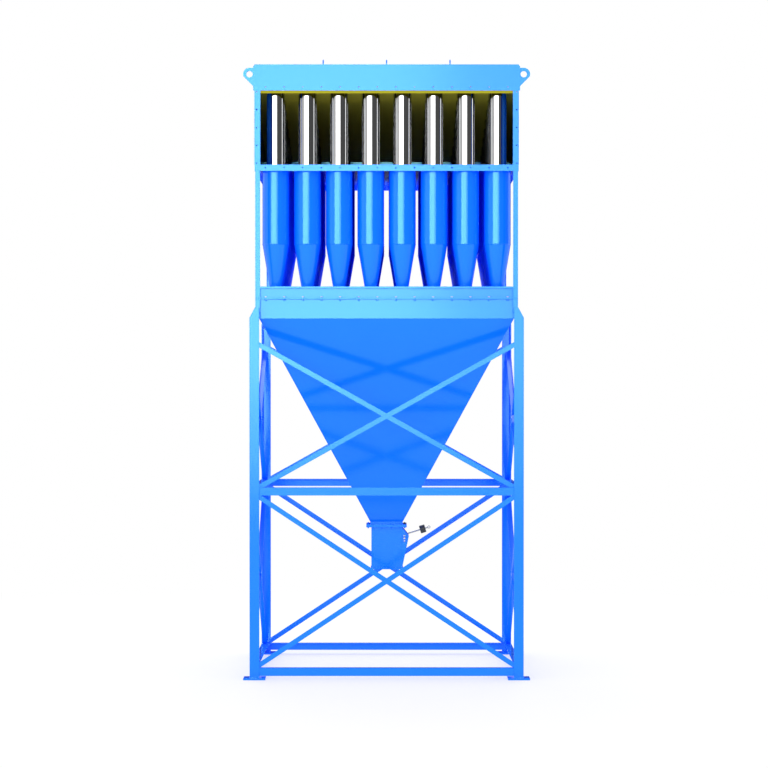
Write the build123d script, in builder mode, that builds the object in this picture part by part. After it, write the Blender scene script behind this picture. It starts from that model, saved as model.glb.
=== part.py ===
"""Multi-cell cyclone separator on an angle-iron stand, in millimetres.

The origin is on the floor at the middle of the plan, +Z is up and the gas inlet faces -Y.
"""

from build123d import *
import math
import os

os.makedirs("parts", exist_ok=True)

# Cells and plan
SIDES = 4
CELLS_ACROSS = 8
ROWS_PER_NODE = 2
CELL_PITCH = 260.0
CELL_TO_EDGE = 52.45
BODY_DIAMETER = 219.1
CONE_FOOT_DIAMETER = 101.0
CONE_HEIGHT = 348.0
BODY_HEIGHT = 638.0
OUTLET_TUBE_DIAMETER = 148.0
RIM_FACES = 10
INNER_FACES = 6
BAY_HALF = (CELLS_ACROSS - 1) * CELL_PITCH / 2 + BODY_DIAMETER / 2 + CELL_TO_EDGE

# Mitred frames keep a narrow root gap at each corner
MITRE_GAP = 0.4

# Stand
LEG_STANDOFF = 46.0
LEG_SIZE = 80.0
LEG_THICKNESS = 8.0
LEG_LAP = 92.0
LEG_TRIM_DROP = 85.0
LEG_TRIM_RUN = 46.0
BASE_PLATE_SIZE = 180.0
BASE_PLATE_THICKNESS = 15.0
ANCHOR_HOLE_DIAMETER = 22.0
ANCHOR_HOLE_EDGE = 25.0
BEAM_SIZE = 65.0
BEAM_THICKNESS = 6.0
BOTTOM_BEAM_TOP = 95.0
MID_BEAM_TOP = 1568.0
BRACE_SIZE = 40.0
BRACE_THICKNESS = 4.0
BRACE_LAP = 30.0
UPPER_BRACE_FOOT_RISE = 3.0
UPPER_BRACE_HEAD_DROP = 214.0
LOWER_BRACE_FOOT_RISE = 23.0
LOWER_BRACE_HEAD_DROP = 78.0
STAND_HALF = BAY_HALF + LEG_STANDOFF
TOE_REACH = STAND_HALF - LEG_SIZE

# Hopper, its skirt and its outlet
HOPPER_OUTLET_LEVEL = 1245.0
HOPPER_HEIGHT = 1700.0
HOPPER_THICKNESS = 5.0
HOPPER_MOUTH_HALF = 137.0
WEB_RECESS = 35.0
SKIRT_HEIGHT = 158.0
SKIRT_CORNER_SIZE = 40.0
FLANGE_THICKNESS = 8.0
NECK_HEIGHT = 25.0
OUTLET_FLANGE_HALF = 172.0
OUTLET_FLANGE_THICKNESS = 12.0
PACKER_WIDTH = 30.0
HOPPER_TOP = HOPPER_OUTLET_LEVEL + HOPPER_HEIGHT
SKIRT_TOP = HOPPER_TOP + SKIRT_HEIGHT + FLANGE_THICKNESS
LEG_TOP = HOPPER_TOP + LEG_LAP
WEB_HALF = BAY_HALF - WEB_RECESS
NECK_BOTTOM = HOPPER_OUTLET_LEVEL - NECK_HEIGHT

# Band and plate that carry the cells
BAND_WEB_HEIGHT = 73.0
DUST_PLATE_THICKNESS = 16.0
BAND_TOP = SKIRT_TOP + FLANGE_THICKNESS + BAND_WEB_HEIGHT
CELL_FOOT = BAND_TOP + DUST_PLATE_THICKNESS
POST_SIZE = 40.0
POST_THICKNESS = 5.0

# Gas casing
EDGE_SIZE = 45.0
EDGE_THICKNESS = 5.0
SHEET_THICKNESS = 6.0
CASING_THICKNESS = 5.0
CASING_HALF = BAY_HALF + EDGE_THICKNESS
CASING_INSIDE = CASING_HALF - CASING_THICKNESS
CELL_HEAD = CELL_FOOT + CONE_HEIGHT + BODY_HEIGHT
CASING_FLOOR = CELL_HEAD + SHEET_THICKNESS
INLET_HEIGHT = 604.0
HEADER_HEIGHT = 212.0
HEADER_THICKNESS = 6.0
HEADER_OVERHANG = 11.0
HEADER_CORNER = 16.0
JAMB_WIDTH = 47.0
SLOPE_FRONT_RISE = 46.0
SLOPE_BACK_RISE = 205.0
HEADER_FOOT = CASING_FLOOR + INLET_HEIGHT
CASING_TOP = HEADER_FOOT + HEADER_HEIGHT
ROOF_THICKNESS = 5.0

# Inlet and outlet bolt holes
DUCT_HOLE_DIAMETER = 12.0
DUCT_HOLE_PITCH = 152.0
DUCT_HOLES_ALONG = 14
PLAIN_HOLE_FACES = 6
SILL_HOLE_DROP = 25.0
HEADER_HOLE_RISE = 29.0
JAMB_HOLE_INSET = 17.0
JAMB_HOLES = 5
JAMB_HOLE_RISE = 12.0
OUTLET_SILL_HEIGHT = 50.0
OUTLET_HEAD_HEIGHT = 56.0
OUTLET_HOLE_PITCH = 304.0
OUTLET_HOLES_ALONG = 7
OUTLET_JAMB_HOLES = 2

# Roof eyes and lifting lugs
ROOF_EYE_SPACING = 518.0
ROOF_EYES = 3
ROOF_EYE_THICKNESS = 10.0
ROOF_EYE_WIDTH = 50.0
ROOF_EYE_HEIGHT = 45.0
ROOF_EYE_HOLE_DIAMETER = 22.0
ROOF_EYE_SETBACK = 60.0
LUG_THICKNESS = 12.0
LUG_HOLE_DIAMETER = 52.0
LUG_RADIUS = 52.0
LUG_REACH = 41.0
LUG_HOLE_LEVEL = 79.0
LUG_FOOT_DROP = 109.0

# Flap valve
VALVE_HALF_DEPTH = 132.0
VALVE_OPENING_HALF = 124.0
VALVE_WALL = 4.0
VALVE_LEFT = 129.0
VALVE_SHOULDER = 128.0
VALVE_ELBOW_REACH = 190.0
VALVE_ELBOW_DROP = 79.0
VALVE_FOOT_REACH = 136.0
VALVE_SLOPE_DROP = 336.0
VALVE_HEIGHT = 359.0
SHAFT_REACH = 153.0
SHAFT_DROP = 95.0
SHAFT_DIAMETER = 20.0
SHAFT_PLAY = 0.3
BEARING_WIDTH = 34.0
BEARING_HEIGHT = 62.0
BEARING_THICKNESS = 10.0
FLAP_ANGLE = 45.0
FLAP_LENGTH = 266.0
FLAP_THICKNESS = 3.0
FLAP_SIDE_GAP = 8.0
BARREL_WALL = 5.0
CHUTE_ANGLE = 50.0
CHUTE_THICKNESS = 4.0
CHUTE_GAP = 0.5
CHUTE_SEAT_INSET = 20.0
LEVER_ANGLE = 17.0
LEVER_DIAMETER = 12.0
LEVER_LENGTH = 220.0
LEVER_HUB_DIAMETER = 44.0
LEVER_HUB_WIDTH = 22.0
LEVER_HUB_GAP = 6.0
SHAFT_END = 4.0
WEIGHT_DIAMETER = 68.0
WEIGHT_LENGTH = 48.0
WEIGHT_DISTANCE = 171.0
COVER_THICKNESS = 4.0
COVER_MARGIN = 6.0
LIP_HEIGHT = 14.0
LIP_THICKNESS = 5.0
VALVE_TOP = NECK_BOTTOM - 2 * OUTLET_FLANGE_THICKNESS
VALVE_BOTTOM = VALVE_TOP - VALVE_HEIGHT


def save(node, name):
    """Label one finished sub-part and write it."""
    node.label = name
    export_step(node, f"parts/{name}.step")


def angle_section(size, thickness):
    """An equal angle's section, its heel at the origin and its legs along +X and +Y."""
    with BuildSketch() as section:
        with BuildLine():
            Polyline(
                (0, 0), (size, 0), (size, thickness), (thickness, thickness),
                (thickness, size), (0, size), close=True,
            )
        make_face()
    return section.sketch


def side_member(outline, half, low, high):
    """The front one of four members round the plan, mitred at 45 degrees at both ends.

    outline lists its section as (distance out from the middle, level).
    """
    with BuildPart() as member:
        with BuildSketch(Plane.YZ):
            with BuildLine():
                Polyline(*[(-out, level) for out, level in outline], close=True)
            make_face()
        extrude(amount=half, both=True)
        with BuildSketch(Plane.XY.offset(low)):
            with BuildLine():
                Polyline((0, -MITRE_GAP), (half, -half - MITRE_GAP), (-half, -half - MITRE_GAP), close=True)
            make_face()
        extrude(amount=high - low, mode=Mode.INTERSECT)
    return member.part


def flat_outline(outside, inside, low, high):
    """The rectangular section of a flat bar, from inside to outside the plan."""
    return [(inside, low), (outside, low), (outside, high), (inside, high)]


def row_levels(first, pitch, count):
    """The levels of a vertical line of like holes."""
    return [first + pitch * step for step in range(count)]


# Base plates, with two anchor holes on the diagonal of each
leg_middle = STAND_HALF - LEG_SIZE / 2
anchor_offset = BASE_PLATE_SIZE / 2 - ANCHOR_HOLE_EDGE
with BuildPart() as base_plates:
    with BuildSketch():
        with GridLocations(2 * leg_middle, 2 * leg_middle, 2, 2):
            Rectangle(BASE_PLATE_SIZE, BASE_PLATE_SIZE)
        for reach in (leg_middle - anchor_offset, leg_middle + anchor_offset):
            with GridLocations(2 * reach, 2 * reach, 2, 2):
                Circle(ANCHOR_HOLE_DIAMETER / 2, mode=Mode.SUBTRACT)
    extrude(amount=BASE_PLATE_THICKNESS)
save(base_plates.part, "base_plates")


def leg(mirror_planes):
    """A corner leg with its heel outside and its top trimmed on a slant."""
    with BuildPart() as post:
        with BuildSketch(Plane((-STAND_HALF, -STAND_HALF, BASE_PLATE_THICKNESS))):
            add(angle_section(LEG_SIZE, LEG_THICKNESS))
        extrude(amount=LEG_TOP - BASE_PLATE_THICKNESS)
        with BuildSketch(Plane.XZ.offset(STAND_HALF)):
            with BuildLine():
                Polyline(
                    (-STAND_HALF, LEG_TOP - LEG_TRIM_DROP),
                    (-STAND_HALF + LEG_TRIM_RUN, LEG_TOP),
                    (-STAND_HALF, LEG_TOP), close=True,
                )
            make_face()
        extrude(amount=-LEG_SIZE, mode=Mode.SUBTRACT)
        for about in mirror_planes:
            mirror(about=about, mode=Mode.REPLACE)
    return post.part


for leg_name, planes in {
    "leg_front_left": [], "leg_front_right": [Plane.YZ],
    "leg_back_left": [Plane.XZ], "leg_back_right": [Plane.YZ, Plane.XZ],
}.items():
    save(leg(planes), leg_name)


def beam(top):
    """The front beam at one level: an angle between the legs' toes with its heel at the top."""
    with BuildPart() as bar:
        with BuildSketch(Plane(origin=(TOE_REACH, -STAND_HALF, top), x_dir=(0, 1, 0), z_dir=(-1, 0, 0))):
            add(angle_section(BEAM_SIZE, BEAM_THICKNESS))
        extrude(amount=2 * TOE_REACH)
    return bar.part


with BuildPart() as bottom_beams:
    with PolarLocations(0, SIDES):
        add(beam(BOTTOM_BEAM_TOP))
save(bottom_beams.part, "bottom_beams")

with BuildPart() as mid_beams:
    with PolarLocations(0, SIDES):
        add(beam(MID_BEAM_TOP))
save(mid_beams.part, "mid_beams")


def brace(foot, head, seat, rising):
    """A diagonal angle on the front, welded behind the legs' flanges and cut off level at its seat.

    The rising one runs through. The falling one is cut where the rising one passes.
    """
    slope = (head - foot) / (2 * TOE_REACH)
    face = -STAND_HALF + LEG_THICKNESS
    way = Vector(1, 0, slope if rising else -slope).normalized()
    across = Vector(-way.Z, 0, way.X)
    other_way = Vector(way.X, 0, -way.Z)
    middle = Vector(0, face, (foot + head) / 2)
    half_length = 2 * STAND_HALF
    heel = middle - across * (BRACE_SIZE / 2) - way * half_length
    with BuildPart() as bar:
        with BuildSketch(Plane(origin=heel, x_dir=(0, 1, 0), z_dir=way)):
            add(angle_section(BRACE_SIZE, BRACE_THICKNESS))
        extrude(amount=2 * half_length)
        if not rising:
            with BuildSketch(Plane(origin=middle, x_dir=other_way, z_dir=(0, 1, 0))):
                Rectangle(2 * half_length, BRACE_SIZE)
            extrude(amount=BRACE_SIZE, mode=Mode.SUBTRACT)
        with BuildSketch(Plane.XY.offset(seat)):
            Rectangle(2 * (TOE_REACH + BRACE_LAP), 2 * STAND_HALF)
        extrude(amount=head - seat + LEG_TOP, mode=Mode.INTERSECT)
    return bar.part


brace_levels = {
    "upper": (MID_BEAM_TOP + UPPER_BRACE_FOOT_RISE, HOPPER_TOP - UPPER_BRACE_HEAD_DROP, MID_BEAM_TOP),
    "lower": (BOTTOM_BEAM_TOP + LOWER_BRACE_FOOT_RISE, MID_BEAM_TOP - LOWER_BRACE_HEAD_DROP, BOTTOM_BEAM_TOP),
}
for level, (foot, head, seat) in brace_levels.items():
    for direction in ("rising", "falling"):
        with BuildPart() as braces:
            with PolarLocations(0, SIDES):
                add(brace(foot, head, seat, direction == "rising"))
        save(braces.part, f"{level}_braces_{direction}")

# Packers between the legs' flanges and the skirt's corners
packer_middle = BAY_HALF - PACKER_WIDTH / 2
with BuildPart() as skirt_packers:
    with BuildSketch(Plane.XY.offset(HOPPER_TOP)):
        packer_depth = STAND_HALF - LEG_THICKNESS - BAY_HALF
        with GridLocations(2 * packer_middle, 2 * BAY_HALF + packer_depth, 2, 2):
            Rectangle(PACKER_WIDTH, packer_depth)
    extrude(amount=LEG_LAP)
save(skirt_packers.part, "skirt_packers")


# Hopper: four sloping plates, mitred against their neighbours
hopper_outline = [
    (HOPPER_MOUTH_HALF - HOPPER_THICKNESS, HOPPER_OUTLET_LEVEL), (HOPPER_MOUTH_HALF, HOPPER_OUTLET_LEVEL),
    (WEB_HALF, HOPPER_TOP), (WEB_HALF - HOPPER_THICKNESS, HOPPER_TOP),
]
hopper_plate = side_member(hopper_outline, BAY_HALF, HOPPER_OUTLET_LEVEL, HOPPER_TOP)
for plate_name, turn in {"hopper_front": 0, "hopper_right": 90, "hopper_back": 180, "hopper_left": 270}.items():
    save(hopper_plate.rotate(Axis.Z, turn), plate_name)

# Skirt: a straight web over the hopper, folded out into the top flange
skirt_outline = [
    (WEB_HALF - HOPPER_THICKNESS, HOPPER_TOP), (WEB_HALF, HOPPER_TOP),
    (WEB_HALF, SKIRT_TOP - FLANGE_THICKNESS), (BAY_HALF, SKIRT_TOP - FLANGE_THICKNESS),
    (BAY_HALF, SKIRT_TOP), (WEB_HALF - HOPPER_THICKNESS, SKIRT_TOP),
]
with BuildPart() as hopper_skirt:
    with PolarLocations(0, SIDES):
        add(side_member(skirt_outline, BAY_HALF, HOPPER_TOP, SKIRT_TOP))
save(hopper_skirt.part, "hopper_skirt")


def corner_angles(low, high, size, thickness):
    """Upright angles at the four corners of the bay's outline, between two levels."""
    with BuildPart() as corner:
        with BuildSketch(Plane((-BAY_HALF, -BAY_HALF, low))):
            add(angle_section(size, thickness))
        extrude(amount=high - low)
    with BuildPart() as angles:
        with PolarLocations(0, SIDES):
            add(corner.part)
    return angles.part


skirt_angles = corner_angles(HOPPER_TOP, HOPPER_TOP + SKIRT_HEIGHT, SKIRT_CORNER_SIZE, HOPPER_THICKNESS)
save(skirt_angles, "skirt_corners")

# Hopper outlet: a short neck with its flange, and the valve's own flange under it
neck_inside = HOPPER_MOUTH_HALF - HOPPER_THICKNESS
outlet_outline = [
    (neck_inside, HOPPER_OUTLET_LEVEL), (HOPPER_MOUTH_HALF, HOPPER_OUTLET_LEVEL),
    (HOPPER_MOUTH_HALF, NECK_BOTTOM), (OUTLET_FLANGE_HALF, NECK_BOTTOM),
    (OUTLET_FLANGE_HALF, NECK_BOTTOM - OUTLET_FLANGE_THICKNESS),
    (neck_inside, NECK_BOTTOM - OUTLET_FLANGE_THICKNESS),
]
with BuildPart() as hopper_outlet:
    with PolarLocations(0, SIDES):
        add(side_member(outlet_outline, OUTLET_FLANGE_HALF, VALVE_TOP, HOPPER_OUTLET_LEVEL))
save(hopper_outlet.part, "hopper_outlet")

valve_flange_outline = flat_outline(
    OUTLET_FLANGE_HALF, VALVE_OPENING_HALF, VALVE_TOP, VALVE_TOP + OUTLET_FLANGE_THICKNESS
)
with BuildPart() as valve_flange:
    with PolarLocations(0, SIDES):
        add(side_member(valve_flange_outline, OUTLET_FLANGE_HALF, VALVE_TOP, HOPPER_OUTLET_LEVEL))
save(valve_flange.part, "valve_flange")

# Flap valve casing: two cheeks, a left wall and a folded right wall between them
shaft_x = SHAFT_REACH
shaft_z = VALVE_TOP - SHAFT_DROP
shoulder = (VALVE_SHOULDER, VALVE_TOP)
elbow = (VALVE_ELBOW_REACH, VALVE_TOP - VALVE_ELBOW_DROP)
foot_corner = (VALVE_FOOT_REACH, VALVE_TOP - VALVE_SLOPE_DROP)
foot_end = (VALVE_FOOT_REACH, VALVE_BOTTOM)
cheek_inside = VALVE_HALF_DEPTH - VALVE_WALL


def cheek(y_direction):
    """A side plate of the valve with the bore that the shaft turns in."""
    with BuildPart() as plate:
        with BuildSketch(Plane(origin=(0, y_direction * cheek_inside, 0), x_dir=(1, 0, 0), z_dir=(0, -1, 0))):
            with BuildLine():
                Polyline((-VALVE_LEFT, VALVE_TOP), shoulder, elbow, foot_corner, foot_end,
                         (-VALVE_LEFT, VALVE_BOTTOM), close=True)
            make_face()
            with Locations((shaft_x, shaft_z)):
                Circle(SHAFT_DIAMETER / 2 + SHAFT_PLAY, mode=Mode.SUBTRACT)
        extrude(amount=-y_direction * VALVE_WALL)
    return plate.part


with BuildPart() as valve_cheeks:
    add(cheek(-1))
    add(cheek(1))
save(valve_cheeks.part, "valve_cheeks")

with BuildPart() as valve_left_wall:
    with BuildSketch(Plane.XZ):
        with BuildLine():
            Polyline((-VALVE_LEFT, VALVE_TOP), (-VALVE_LEFT + VALVE_WALL, VALVE_TOP),
                     (-VALVE_LEFT + VALVE_WALL, VALVE_BOTTOM), (-VALVE_LEFT, VALVE_BOTTOM), close=True)
        make_face()
    extrude(amount=cheek_inside, both=True)
save(valve_left_wall.part, "valve_left_wall")

with BuildPart() as valve_right_wall:
    with BuildSketch(Plane.XZ) as right_section:
        with BuildLine() as right_line:
            Polyline(shoulder, elbow, foot_corner, foot_end)
            offset(amount=VALVE_WALL, side=Side.RIGHT, kind=Kind.INTERSECTION, mode=Mode.REPLACE)
        make_face()
    extrude(amount=cheek_inside, both=True)
save(valve_right_wall.part, "valve_right_wall")

# Chute: a sloping plate that leads the dust on to the flap, its lip close over the closed flap
flap_way = Vector(-math.cos(math.radians(FLAP_ANGLE)), -math.sin(math.radians(FLAP_ANGLE)))
flap_up = Vector(-math.sin(math.radians(FLAP_ANGLE)), math.cos(math.radians(FLAP_ANGLE)))
shaft_point = Vector(shaft_x, shaft_z)
chute_way = Vector(math.cos(math.radians(CHUTE_ANGLE)), -math.sin(math.radians(CHUTE_ANGLE)))
chute_down = Vector(-chute_way.Y, chute_way.X) * -CHUTE_THICKNESS
lip = shaft_point + flap_way * (FLAP_LENGTH - CHUTE_SEAT_INSET) + flap_up * (FLAP_THICKNESS / 2 + CHUTE_GAP)
chute_run = (lip.X + VALVE_LEFT - VALVE_WALL) / chute_way.X
chute_head = lip - chute_way * chute_run
chute_drop = CHUTE_THICKNESS / chute_way.X
with BuildPart() as valve_chute:
    with BuildSketch(Plane.XZ):
        with BuildLine():
            Polyline((chute_head.X, chute_head.Y), (lip.X, lip.Y),
                     ((lip + chute_down).X, (lip + chute_down).Y),
                     (chute_head.X, chute_head.Y - chute_drop), close=True)
        make_face()
    extrude(amount=cheek_inside, both=True)
save(valve_chute.part, "valve_chute")

# Bearing plates outside the cheeks
with BuildPart() as valve_bearings:
    for y_direction in (-1, 1):
        bearing_plane = Plane(
            origin=(shaft_x, y_direction * VALVE_HALF_DEPTH, shaft_z), x_dir=(1, 0, 0), z_dir=(0, -1, 0)
        )
        with BuildSketch(bearing_plane):
            Rectangle(BEARING_WIDTH, BEARING_HEIGHT)
            Circle(SHAFT_DIAMETER / 2 + SHAFT_PLAY, mode=Mode.SUBTRACT)
        extrude(amount=-y_direction * BEARING_THICKNESS)
save(valve_bearings.part, "valve_bearings")

# Inspection cover on the short slope over the shaft, and a lip round the foot for the dust hose
cover_way = (Vector(*elbow) - Vector(*shoulder)).normalized()
cover_out = Vector(-cover_way.Y, cover_way.X)
cover_length = (Vector(*elbow) - Vector(*shoulder)).length - 2 * COVER_MARGIN
cover_middle = (Vector(*elbow) + Vector(*shoulder)) / 2 + cover_out * (COVER_THICKNESS / 2)
with BuildPart() as valve_cover:
    with BuildSketch(Plane(origin=(cover_middle.X, 0, cover_middle.Y), x_dir=(cover_way.X, 0, cover_way.Y),
                           z_dir=(0, -1, 0))):
        Rectangle(cover_length, COVER_THICKNESS)
    extrude(amount=cheek_inside - COVER_MARGIN, both=True)
save(valve_cover.part, "valve_cover")

lip_middle = (VALVE_FOOT_REACH - VALVE_LEFT) / 2
lip_length = VALVE_FOOT_REACH + VALVE_LEFT
with BuildPart() as valve_lip:
    with BuildSketch(Plane.XY.offset(VALVE_BOTTOM)):
        with Locations((lip_middle, 0)):
            with GridLocations(0, 2 * VALVE_HALF_DEPTH + LIP_THICKNESS, 1, 2):
                Rectangle(lip_length, LIP_THICKNESS)
            with GridLocations(lip_length + LIP_THICKNESS, 0, 2, 1):
                Rectangle(LIP_THICKNESS, 2 * (VALVE_HALF_DEPTH - MITRE_GAP))
    extrude(amount=LIP_HEIGHT)
save(valve_lip.part, "valve_lip")

# Flap with its barrel, its shaft, and the lever and weight that close it
barrel_outside = SHAFT_DIAMETER / 2 + BARREL_WALL
flap_half = cheek_inside - FLAP_SIDE_GAP
flap_plane = Plane(origin=(shaft_x, 0, shaft_z), x_dir=(flap_way.X, 0, flap_way.Y), z_dir=(0, -1, 0))
with BuildPart() as flap_plate:
    with BuildSketch(flap_plane):
        Circle(barrel_outside)
        with Locations((FLAP_LENGTH / 2, 0)):
            Rectangle(FLAP_LENGTH, FLAP_THICKNESS)
        Circle(SHAFT_DIAMETER / 2, mode=Mode.SUBTRACT)
    extrude(amount=flap_half, both=True)
save(flap_plate.part, "flap_plate")

bearing_face = VALVE_HALF_DEPTH + BEARING_THICKNESS
hub_start = bearing_face + LEVER_HUB_GAP
shaft_plane = Plane(origin=(shaft_x, -bearing_face, shaft_z), x_dir=(1, 0, 0), z_dir=(0, 1, 0))
with BuildPart() as flap_shaft:
    with BuildSketch(shaft_plane):
        Circle(SHAFT_DIAMETER / 2)
    extrude(amount=bearing_face + hub_start + LEVER_HUB_WIDTH + SHAFT_END)
save(flap_shaft.part, "flap_shaft")

lever_way = Vector(math.cos(math.radians(LEVER_ANGLE)), 0, math.sin(math.radians(LEVER_ANGLE)))
lever_up = Vector(-lever_way.Z, 0, lever_way.X)
hub_middle = Vector(shaft_x, hub_start + LEVER_HUB_WIDTH / 2, shaft_z)
rod_offset = (LEVER_HUB_DIAMETER - LEVER_DIAMETER) / 2
rod_start = hub_middle + lever_up * rod_offset
with BuildPart() as flap_lever:
    with BuildSketch(Plane(origin=(shaft_x, hub_start, shaft_z), x_dir=(1, 0, 0), z_dir=(0, 1, 0))):
        Circle(LEVER_HUB_DIAMETER / 2)
        Circle(SHAFT_DIAMETER / 2, mode=Mode.SUBTRACT)
    extrude(amount=LEVER_HUB_WIDTH)
    with BuildSketch(Plane(origin=rod_start, x_dir=(0, 1, 0), z_dir=lever_way)):
        Circle(LEVER_DIAMETER / 2)
    extrude(amount=LEVER_LENGTH)
save(flap_lever.part, "flap_lever")

weight_start = rod_start + lever_way * (WEIGHT_DISTANCE - WEIGHT_LENGTH / 2)
with BuildPart() as counterweight:
    with BuildSketch(Plane(origin=weight_start, x_dir=(0, 1, 0), z_dir=lever_way)):
        Circle(WEIGHT_DIAMETER / 2)
    extrude(amount=WEIGHT_LENGTH)
    with BuildSketch(Plane(origin=weight_start, x_dir=(0, 1, 0), z_dir=lever_way)):
        Circle(LEVER_DIAMETER / 2)
    extrude(amount=WEIGHT_LENGTH, mode=Mode.SUBTRACT)
save(counterweight.part, "counterweight")

# Dust band: bottom flange and recessed web, folded from one plate on each side
band_foot = SKIRT_TOP
band_outline = [
    (WEB_HALF - HOPPER_THICKNESS, band_foot), (BAY_HALF, band_foot), (BAY_HALF, band_foot + FLANGE_THICKNESS),
    (WEB_HALF, band_foot + FLANGE_THICKNESS), (WEB_HALF, BAND_TOP), (WEB_HALF - HOPPER_THICKNESS, BAND_TOP),
]
with BuildPart() as dust_band:
    with PolarLocations(0, SIDES):
        add(side_member(band_outline, BAY_HALF, band_foot, BAND_TOP))
save(dust_band.part, "dust_band")

band_angles = corner_angles(band_foot + FLANGE_THICKNESS, BAND_TOP, SKIRT_CORNER_SIZE, HOPPER_THICKNESS)
save(band_angles, "band_corners")

with BuildPart() as dust_plate:
    with BuildSketch(Plane.XY.offset(BAND_TOP)):
        Rectangle(2 * BAY_HALF, 2 * BAY_HALF)
    extrude(amount=DUST_PLATE_THICKNESS)
save(dust_plate.part, "dust_plate")

# Corner posts of the open bay, from the dust plate up inside the edge angles
bay_posts = corner_angles(CELL_FOOT, CELL_HEAD - EDGE_THICKNESS, POST_SIZE, POST_THICKNESS)
save(bay_posts, "bay_posts")


def cell(faces):
    """A cyclone: a straight body whose foot is chamfered far up into a cone.

    It is drawn with few faces because the same cell repeats.
    """
    cone_inset = (BODY_DIAMETER - CONE_FOOT_DIAMETER) / 2 * math.cos(math.pi / faces)
    with BuildPart() as body:
        with BuildSketch(Plane.XY.offset(CELL_FOOT)):
            RegularPolygon(BODY_DIAMETER / 2, faces)
        extrude(amount=CONE_HEIGHT + BODY_HEIGHT)
        foot = body.faces().sort_by(Axis.Z)[0]
        chamfer(foot.edges(), length=cone_inset, length2=CONE_HEIGHT, reference=foot)
    return body.part


def cell_places(group):
    """The middles of one group of rows, each with the faces that a round piece there is drawn with."""
    rim = {0, CELLS_ACROSS - 1}
    middle = (CELLS_ACROSS - 1) / 2
    places = []
    for row in range(group * ROWS_PER_NODE, (group + 1) * ROWS_PER_NODE):
        for column in range(CELLS_ACROSS):
            place = ((column - middle) * CELL_PITCH, (row - middle) * CELL_PITCH)
            places.append((place, RIM_FACES if rim & {row, column} else INNER_FACES))
    return places


# Cyclone cells, two rows of them in each node
cells = {faces: cell(faces) for faces in (RIM_FACES, INNER_FACES)}
row_groups = range(CELLS_ACROSS // ROWS_PER_NODE)
for group in row_groups:
    with BuildPart() as cyclones:
        for place, faces in cell_places(group):
            with Locations(place):
                add(cells[faces])
    save(cyclones.part, f"cyclones_{group + 1}")

# Inclined tube sheet between the dirty and the clean gas
slope_front = HEADER_FOOT + SLOPE_FRONT_RISE
slope_back = CASING_FLOOR + SLOPE_BACK_RISE
header_back = CASING_HALF - HEADER_THICKNESS
slope_angle = math.atan2(slope_front - slope_back, 2 * header_back)
slope_normal = (0, math.sin(slope_angle), math.cos(slope_angle))
slope_plane = Plane(origin=(0, -header_back, slope_front), x_dir=(1, 0, 0), z_dir=slope_normal)
sheet_rise = SHEET_THICKNESS / math.cos(slope_angle)
with BuildPart() as inclined_tube_sheet:
    with BuildSketch(Plane.YZ):
        with BuildLine():
            Polyline(
                (-header_back, slope_front), (header_back, slope_back),
                (header_back, slope_back + sheet_rise), (-header_back, slope_front + sheet_rise), close=True,
            )
        make_face()
    extrude(amount=CASING_INSIDE, both=True)
save(inclined_tube_sheet.part, "inclined_tube_sheet")

# Outlet tubes stand on the lower tube sheet and end under the inclined one
for group in row_groups:
    with BuildPart() as outlet_tubes:
        with BuildSketch(Plane.XY.offset(CASING_FLOOR)):
            for place, faces in cell_places(group):
                with Locations(place):
                    RegularPolygon(OUTLET_TUBE_DIAMETER / 2, faces)
        extrude(amount=slope_front - CASING_FLOOR)
        split(bisect_by=slope_plane, keep=Keep.BOTTOM)
    save(outlet_tubes.part, f"outlet_tubes_{group + 1}")

# Lower tube sheet on its edge angles
with BuildPart() as lower_tube_sheet:
    with BuildSketch(Plane.XY.offset(CELL_HEAD)):
        Rectangle(2 * CASING_HALF, 2 * CASING_HALF)
    extrude(amount=SHEET_THICKNESS)
save(lower_tube_sheet.part, "lower_tube_sheet")

edge_outline = [
    (CASING_HALF, CELL_HEAD), (CASING_HALF, CELL_HEAD - EDGE_SIZE),
    (CASING_HALF - EDGE_THICKNESS, CELL_HEAD - EDGE_SIZE),
    (CASING_HALF - EDGE_THICKNESS, CELL_HEAD - EDGE_THICKNESS),
    (CASING_HALF - EDGE_SIZE, CELL_HEAD - EDGE_THICKNESS), (CASING_HALF - EDGE_SIZE, CELL_HEAD),
]


def bolt_hole(located):
    """A bolt hole in the duct flanges: round where it is located, and with few faces in between."""
    with BuildSketch() as hole:
        if located:
            Circle(DUCT_HOLE_DIAMETER / 2)
        else:
            RegularPolygon(DUCT_HOLE_DIAMETER / 2, PLAIN_HOLE_FACES)
    return hole.sketch


def hole_row(pitch, count, located):
    """A level row of bolt holes, of which the numbered ones are located."""
    with BuildSketch() as row:
        for step in range(count):
            with Locations(((step - (count - 1) / 2) * pitch, 0)):
                add(bolt_hole(step in located))
    return row.sketch


inlet_holes = hole_row(
    DUCT_HOLE_PITCH, DUCT_HOLES_ALONG,
    (0, DUCT_HOLES_ALONG // 2 - 1, DUCT_HOLES_ALONG // 2, DUCT_HOLES_ALONG - 1),
)
outlet_holes = hole_row(OUTLET_HOLE_PITCH, OUTLET_HOLES_ALONG, (0, OUTLET_HOLES_ALONG - 1))
edge_angle = side_member(edge_outline, CASING_HALF, CELL_HEAD - EDGE_SIZE, CELL_HEAD)
with BuildPart() as inlet_sill:
    add(edge_angle)
    with BuildSketch(Plane.XZ.offset(CASING_HALF)):
        with Locations((0, CASING_FLOOR - SILL_HOLE_DROP)):
            add(inlet_holes)
    extrude(amount=-EDGE_THICKNESS, mode=Mode.SUBTRACT)
save(inlet_sill.part, "inlet_sill")

with BuildPart() as sheet_edges:
    for turn in (90, 180, 270):
        add(edge_angle.rotate(Axis.Z, turn))
save(sheet_edges.part, "sheet_edges")

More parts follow.
